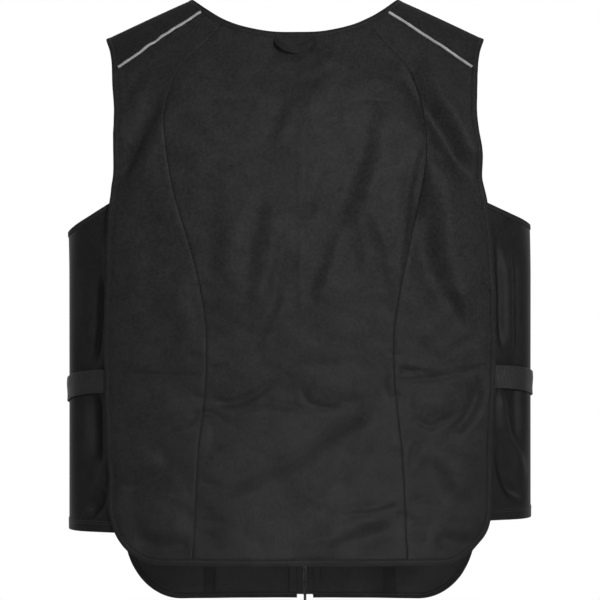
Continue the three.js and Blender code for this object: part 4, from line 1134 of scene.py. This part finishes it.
def sideStitches(name, grids, offset):
    # a row of stitches along the middle of each narrow grid, on the face that looks away from the body
    lines = []
    for grid in grids:
        row = len(grid) // 2
        outward = gridNormals(grid)[row]
        outward = outward * np.sign((outward * grid[row])[:, :2].sum(-1).mean())
        lines.append((grid[row] + outward * offset, outward))
    return stitchRows(name, lines)


for sideName, side in sides.items():
    hem = form["neckRise"] - form["hemDrop"] * side["hem"]
    hemTop = hem + form["sideHem"]
    shareU = crowdedShares(sideMesh["across"], sideMesh["stepAcross"], 0.8)
    shareV = crowdedShares(sideMesh["down"], sideMesh["stepDown"], 0.8)
    middle = sideGrid(sideName, shareU, shareV, lambda top: top - form["bindingWidth"] + 1.3,
                      lambda top: hemTop - 0.9)
    panel, wide, high = sidePiece(f"side_cloth_{sideName}", middle, shareU, shareV, form["side"], stretchCloth,
                                  f"side_panel_{sideName}", 0.6)

    def armholeGrid(shares):
        return sideGrid(sideName, shareU, shares, lambda top: top, lambda top: top - form["bindingWidth"])

    def hemGrid(shares):
        return sideGrid(sideName, shareU, shares, lambda top: hemTop + 0 * top, lambda top: hem + 0 * top)

    bandV = crowdedShares(form["bindingWidth"], 0.8, 0.7)
    sidePiece(f"side_armhole_tape_{sideName}", armholeGrid(bandV), shareU, bandV, form["sideBinding"],
              bindingTape, f"side_armhole_binding_{sideName}", 1.2)
    sideStitches(f"side_armhole_stitches_{sideName}", [armholeGrid(np.array([.6, .7, .8]))], 1.25)
    bandV = crowdedShares(form["sideHem"], 1.2, 0.8)
    hemPiece, wide, high = sidePiece(f"side_hem_fold_{sideName}", hemGrid(bandV), shareU, bandV, 2 * form["side"],
                                     stretchCloth, f"side_hem_{sideName}", 1.0)
    hemRows = [hemGrid(np.array([v - .05, v, v + .05])) for v in (0.16, 0.34)]
    stitches = sideStitches(f"side_hem_stitches_{sideName}", hemRows, 1.15)

    # the strap bridges the hollows and droops towards the side's middle and the front
    across = crowdedShares(sideMesh["across"], sideMesh["strapStep"], 1.0)
    down = crowdedShares(form["strapWidth"], 1.6, 1.0)
    place = mix(-1.0, 1.0, across)[None]
    droop = smooth(place, -0.9, 0.5)
    level = form["neckRise"] - form["strapDrop"] * mix(side["strapEdge"], side["strapMiddle"], droop)
    z = level + mix(form["strapWidth"] / 2, -form["strapWidth"] / 2, down[:, None])
    angle = place * edgeAngle(place, level, form["strapTuck"])
    near = towardsEdge(angle, level) + 0 * z
    ripple = 0.35 * np.sin(down * np.pi * 2)[:, None] * (1 - near)
    middle = sidePlace(side, angle + 0 * z, z, tuckedOffset(near, strapOffset, strapToSide) + ripple)
    strapPiece, wide, high = sidePiece(f"side_strap_webbing_{sideName}", middle, across, down, form["strap"],
                                       webbing, f"side_strap_{sideName}", 1.0)
print("sides made")

# Zip, facings and seam tapes.
zipShape = {
    "tape": 0.8, "tapeFrom": 1.3, "tapeHalf": 14.5, "tapeFoot": 4, "facing": 1.0, "facingHalf": 18,
    "facingFoot": 6.4, "seamTape": 1.0, "seamTapeWidth": 11.5, "chain": 2.6, "pitch": 1.55, "toothSide": 0.9,
    "toothLength": 4.0, "toothRadius": 0.78, "toothDepth": 1.6, "core": 1.25, "coreFoot": 4.2,
}
tapeOffset = -(form["panel"] / 2 + form["gap"] + zipShape["tape"] / 2)
facingOffset = tapeOffset - (zipShape["tape"] / 2 + form["gap"] + zipShape["facing"] / 2)
seamTapeOffset = -(form["panel"] / 2 + form["gap"] + zipShape["seamTape"] / 2)
stripAcross = np.array([0, .03, .1, .2, .35, .5, .65, .8, .9, .97, 1])


def zipLine(top, bottom, reach, sign):
    z = np.linspace(top, bottom, 241)
    return pattern(zipMiddle(z) + sign * reach, z, 1)


tapeFoot, facingFoot = frontHem + zipShape["tapeFoot"], frontHem + zipShape["facingFoot"]
for sideName, side in sides.items():
    sign = side["sign"]
    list(flatStrip(
        f"zip_tape_cloth_{sideName}", zipLine(zipTop, tapeFoot, zipShape["tapeFrom"], sign),
        zipLine(zipTop, tapeFoot, zipShape["tapeHalf"], sign), tapeOffset, zipShape["tape"], stripAcross, zipCloth,
        f"zip_tape_{sideName}"))
    flatStrip(
        f"zip_facing_cloth_{sideName}", zipLine(zipTop, facingFoot, zipOpening, sign),
        zipLine(zipTop, facingFoot, zipShape["facingHalf"], sign), facingOffset, zipShape["facing"], stripAcross,
        shellCloth, f"zip_facing_{sideName}")
    z = np.linspace(frontSeamTop - zipShape["seamTapeWidth"] - 3, frontFootZ, 241)
    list(flatStrip(
        f"seam_tape_cloth_{sideName}", pattern(sign * frontSeam(z), z, 1),
        pattern(sign * (frontSeam(z) + zipShape["seamTapeWidth"]), z, 1), seamTapeOffset, zipShape["seamTape"],
        stripAcross, bindingTape, f"front_seam_tape_{sideName}"))

toothZ = np.arange(zipTop - 2, frontHem + form["bindingWidth"] + 1, -zipShape["pitch"])
toothSign = np.where(np.arange(len(toothZ)) % 2 == 0, 1, -1)
toothX = zipMiddle(toothZ) + toothSign * zipShape["toothSide"]
toothTurn = turnAt(toothX, toothZ)
toothAlong = unit(formSlopes(toothX, toothTurn)[0]) * toothSign[:, None]
toothBar, toothFaces = capsule(zipShape["toothLength"], zipShape["toothRadius"])
coreZ = np.linspace(zipTop - 1, frontHem + zipShape["coreFoot"], 161)
coreTurn = turnAt(zipMiddle(coreZ), coreZ)
tube("zip_core", vestPoint(zipMiddle(coreZ), coreTurn, tapeOffset), zipShape["core"], 8, zipCloth, (),
     0.45, formNormal(zipMiddle(coreZ), coreTurn))
repeated("zip_teeth", vestPoint(toothX, toothTurn, tapeOffset), toothAlong, formNormal(toothX, toothTurn),
         toothBar * [1, 1, zipShape["toothDepth"]], toothFaces, zipMetal, ["zip_chain"])

sliderShape = {"width": 9, "waist": 7, "length": 12, "depth": 5.5}
pullShape = {"halfWidth": 2.2, "halfLength": 12.6, "top": 11.5, "drop": 13.5, "radius": 0.75, "out": 1.1}
pinShape = {"above": 5.4, "below": 3.9, "radius": 1.55, "rows": 14}
sliderInner = tapeOffset + zipShape["chain"] / 2 + form["gap"]


def onZip(x, z, offset):
    return vestPoint(zipMiddle(z) + x, turnAt(zipMiddle(z) + x, z), offset)


def boxed(wave):
    # a wave with flattened tops, which turns a circle into a rounded box
    return np.sign(wave) * np.abs(wave) ** 0.6


sliderWide, sliderLong = sliderShape["width"], sliderShape["length"]
u, v = crowdedShares(sliderWide, 0.9, 1.6), crowdedShares(sliderLong, 0.9, 1.6)
wideAt = mix(sliderWide, sliderShape["waist"], smooth(v, 0.2, 0.9))[:, None]
z = zipTop - form["gap"] - sliderLong * v[:, None]
middle = onZip(mix(-0.5, 0.5, u)[None] * wideAt, z + 0 * u[None], sliderInner + sliderShape["depth"] / 2)
half = rolledHalf(sliderShape["depth"], u[None], v[:, None], sliderWide, sliderLong, 2.0)
uv = np.stack(np.broadcast_arrays(u[None] * sliderWide, v[:, None] * sliderLong), -1)
closedWall("zip_slider_body", middle, half, uv, zipMetal, ["zip_slider"])
turn = np.linspace(0, 2 * np.pi, 73)[:-1]
pullX = pullShape["halfWidth"] * boxed(np.cos(turn))
pullZ = zipTop - form["gap"] - pullShape["top"] - pullShape["drop"] + pullShape["halfLength"] * boxed(np.sin(turn))
pullLine = onZip(pullX, pullZ, sliderInner + pullShape["out"])
pullLine = np.concatenate([pullLine, pullLine[:2]])
atMiddle = 0 * pullLine[:, 0]
tube("zip_pull", pullLine, pullShape["radius"], 8, zipMetal, (), 1.0,
     formNormal(zipMiddle(zipTop) + atMiddle, turnAt(atMiddle, pullLine[:, 2])))
pinZ = np.linspace(frontHem + pinShape["above"], frontHem - pinShape["below"], pinShape["rows"])
pinLine = np.stack([zipMiddle(pinZ), 0 * pinZ, pinZ], -1)
pinLine[:, 1] = onZip(np.zeros(1), np.array([frontHem + 6.0]), tapeOffset)[0, 1]
pinRadius = pinShape["radius"] * (1 - 0.25 * smooth(np.linspace(0, 1, pinShape["rows"]), 0.8, 1))
tube("zip_pin_metal", pinLine, pinRadius, 10, zipMetal, ["zip_pin"], 0.8,
     np.tile([0.0, 1.0, 0.0], (pinShape["rows"], 1)))
print("zip made")

# Hanger loop.
loopShape = {"half": 22, "drop": 21, "tape": 7.6, "end": 5, "thickness": 1.6, "standOff": 9.5}
turn = np.linspace(0, np.pi, 97)[:, None]
bow = np.sin(turn)
across = np.array([0, .03, .09, .2, .35, .5, .65, .8, .91, .97, 1])[None]
topZ = float(heightOf(neckInset[0])) - loopShape["thickness"]
tapeWidth = mix(loopShape["end"], loopShape["tape"], bow)
reach = 1 - across * tapeWidth / mix(loopShape["half"], loopShape["drop"], smooth(bow, 0.4, 0.9))
loopX, loopZ = loopShape["half"] * np.cos(turn) * reach, topZ - loopShape["drop"] * bow * reach
near = form["panel"] / 2 + form["gap"] + loopShape["thickness"] / 2
offset = mix(near, near + loopShape["standOff"], smooth(bow, 0, 0.8)) + 0 * across
middle = vestPoint(loopX, -turnAt(loopX, loopZ), offset)
half = rolledHalf(loopShape["thickness"], across, np.linspace(0, 1, 97)[:, None], 8, 60, 0.8)
closedWall("hanger_loop_tape", middle, half, gridUv(middle), bindingTape, ["hanger_loop"])
print("hanger loop made")

# Floor, light and camera.
stageLook = {"floor": -0.705, "floorRadius": 0.62, "floorCorners": 64, "world": 1.0}
floorTurn = np.linspace(0, 2 * np.pi, stageLook["floorCorners"] + 1)[:-1]
floorRim = [(stageLook["floorRadius"] * np.cos(a), stageLook["floorRadius"] * np.sin(a), stageLook["floor"])
            for a in floorTurn]
floorMesh = bpy.data.meshes.new("floor")
floorMesh.from_pydata(floorRim, [], [tuple(range(len(floorRim)))])
floor = bpy.data.objects.new("floor", floorMesh)
bpy.context.scene.collection.objects.link(floor)
floorMaterial, tree, shader = startMaterial("paleFloor", 0.8, 0.2)
_, place = coordinates(tree)
colourBetween(tree, shader, noise(tree, place, 0.2), grey(0.8), grey(0.86))
floorMesh.materials.append(floorMaterial)

world = bpy.data.worlds.new("studio")
bpy.context.scene.world = world
world.use_nodes = True
world.node_tree.nodes["Background"].inputs["Color"].default_value = (1, 1, 1, 1)
world.node_tree.nodes["Background"].inputs["Strength"].default_value = stageLook["world"]


def softLight(name, place, target, size, power, spreadDegrees):
    lamp = bpy.data.lights.new(name, "AREA")
    lamp.spread = np.radians(spreadDegrees)
    lamp.shape, lamp.size, lamp.energy = "DISK", size, power
    light = bpy.data.objects.new(name, lamp)
    bpy.context.scene.collection.objects.link(light)
    way = np.array(target) - np.array(place)
    way = way / np.linalg.norm(way)
    light.location = place
    light.rotation_euler = (np.arccos(-way[2]), 0, np.arctan2(way[0], -way[1]) + np.pi)


# each lamp's place, what it points at, its size, its power and its spread in degrees
lamps = {
    "key": ((0.8, -2.3, 0.0), (0.02, -0.1, -0.12), 0.4, 5.9, 42),
    "top": ((0.2, -1.6, 1.5), (0, -0.1, -0.3), 0.6, 5, 180),
    "low": ((0.3, -2.2, -0.75), (0, 0.1, -0.61), 0.4, 0.5, 15),
    "front": ((-0.5, 2.6, 0.5), (0, 0.1, -0.27), 0.5, 6, 60),
}
for lampName, lampRow in lamps.items():
    softLight(lampName, *lampRow)
cameraShape = {"sensor": 36, "away": 3000, "seenWidth": 648, "height": -0.3}
cameraData = bpy.data.cameras.new("photoView")
cameraData.lens = cameraShape["sensor"] * cameraShape["away"] / cameraShape["seenWidth"]
cameraData.clip_end = 20
camera = bpy.data.objects.new("photoView", cameraData)
camera.location = (0, -cameraShape["away"] * mm, cameraShape["height"])
camera.rotation_euler = (halfPi, 0, 0)
bpy.context.scene.collection.objects.link(camera)
bpy.context.scene.camera = camera
bpy.context.scene.view_settings.view_transform = "Standard"
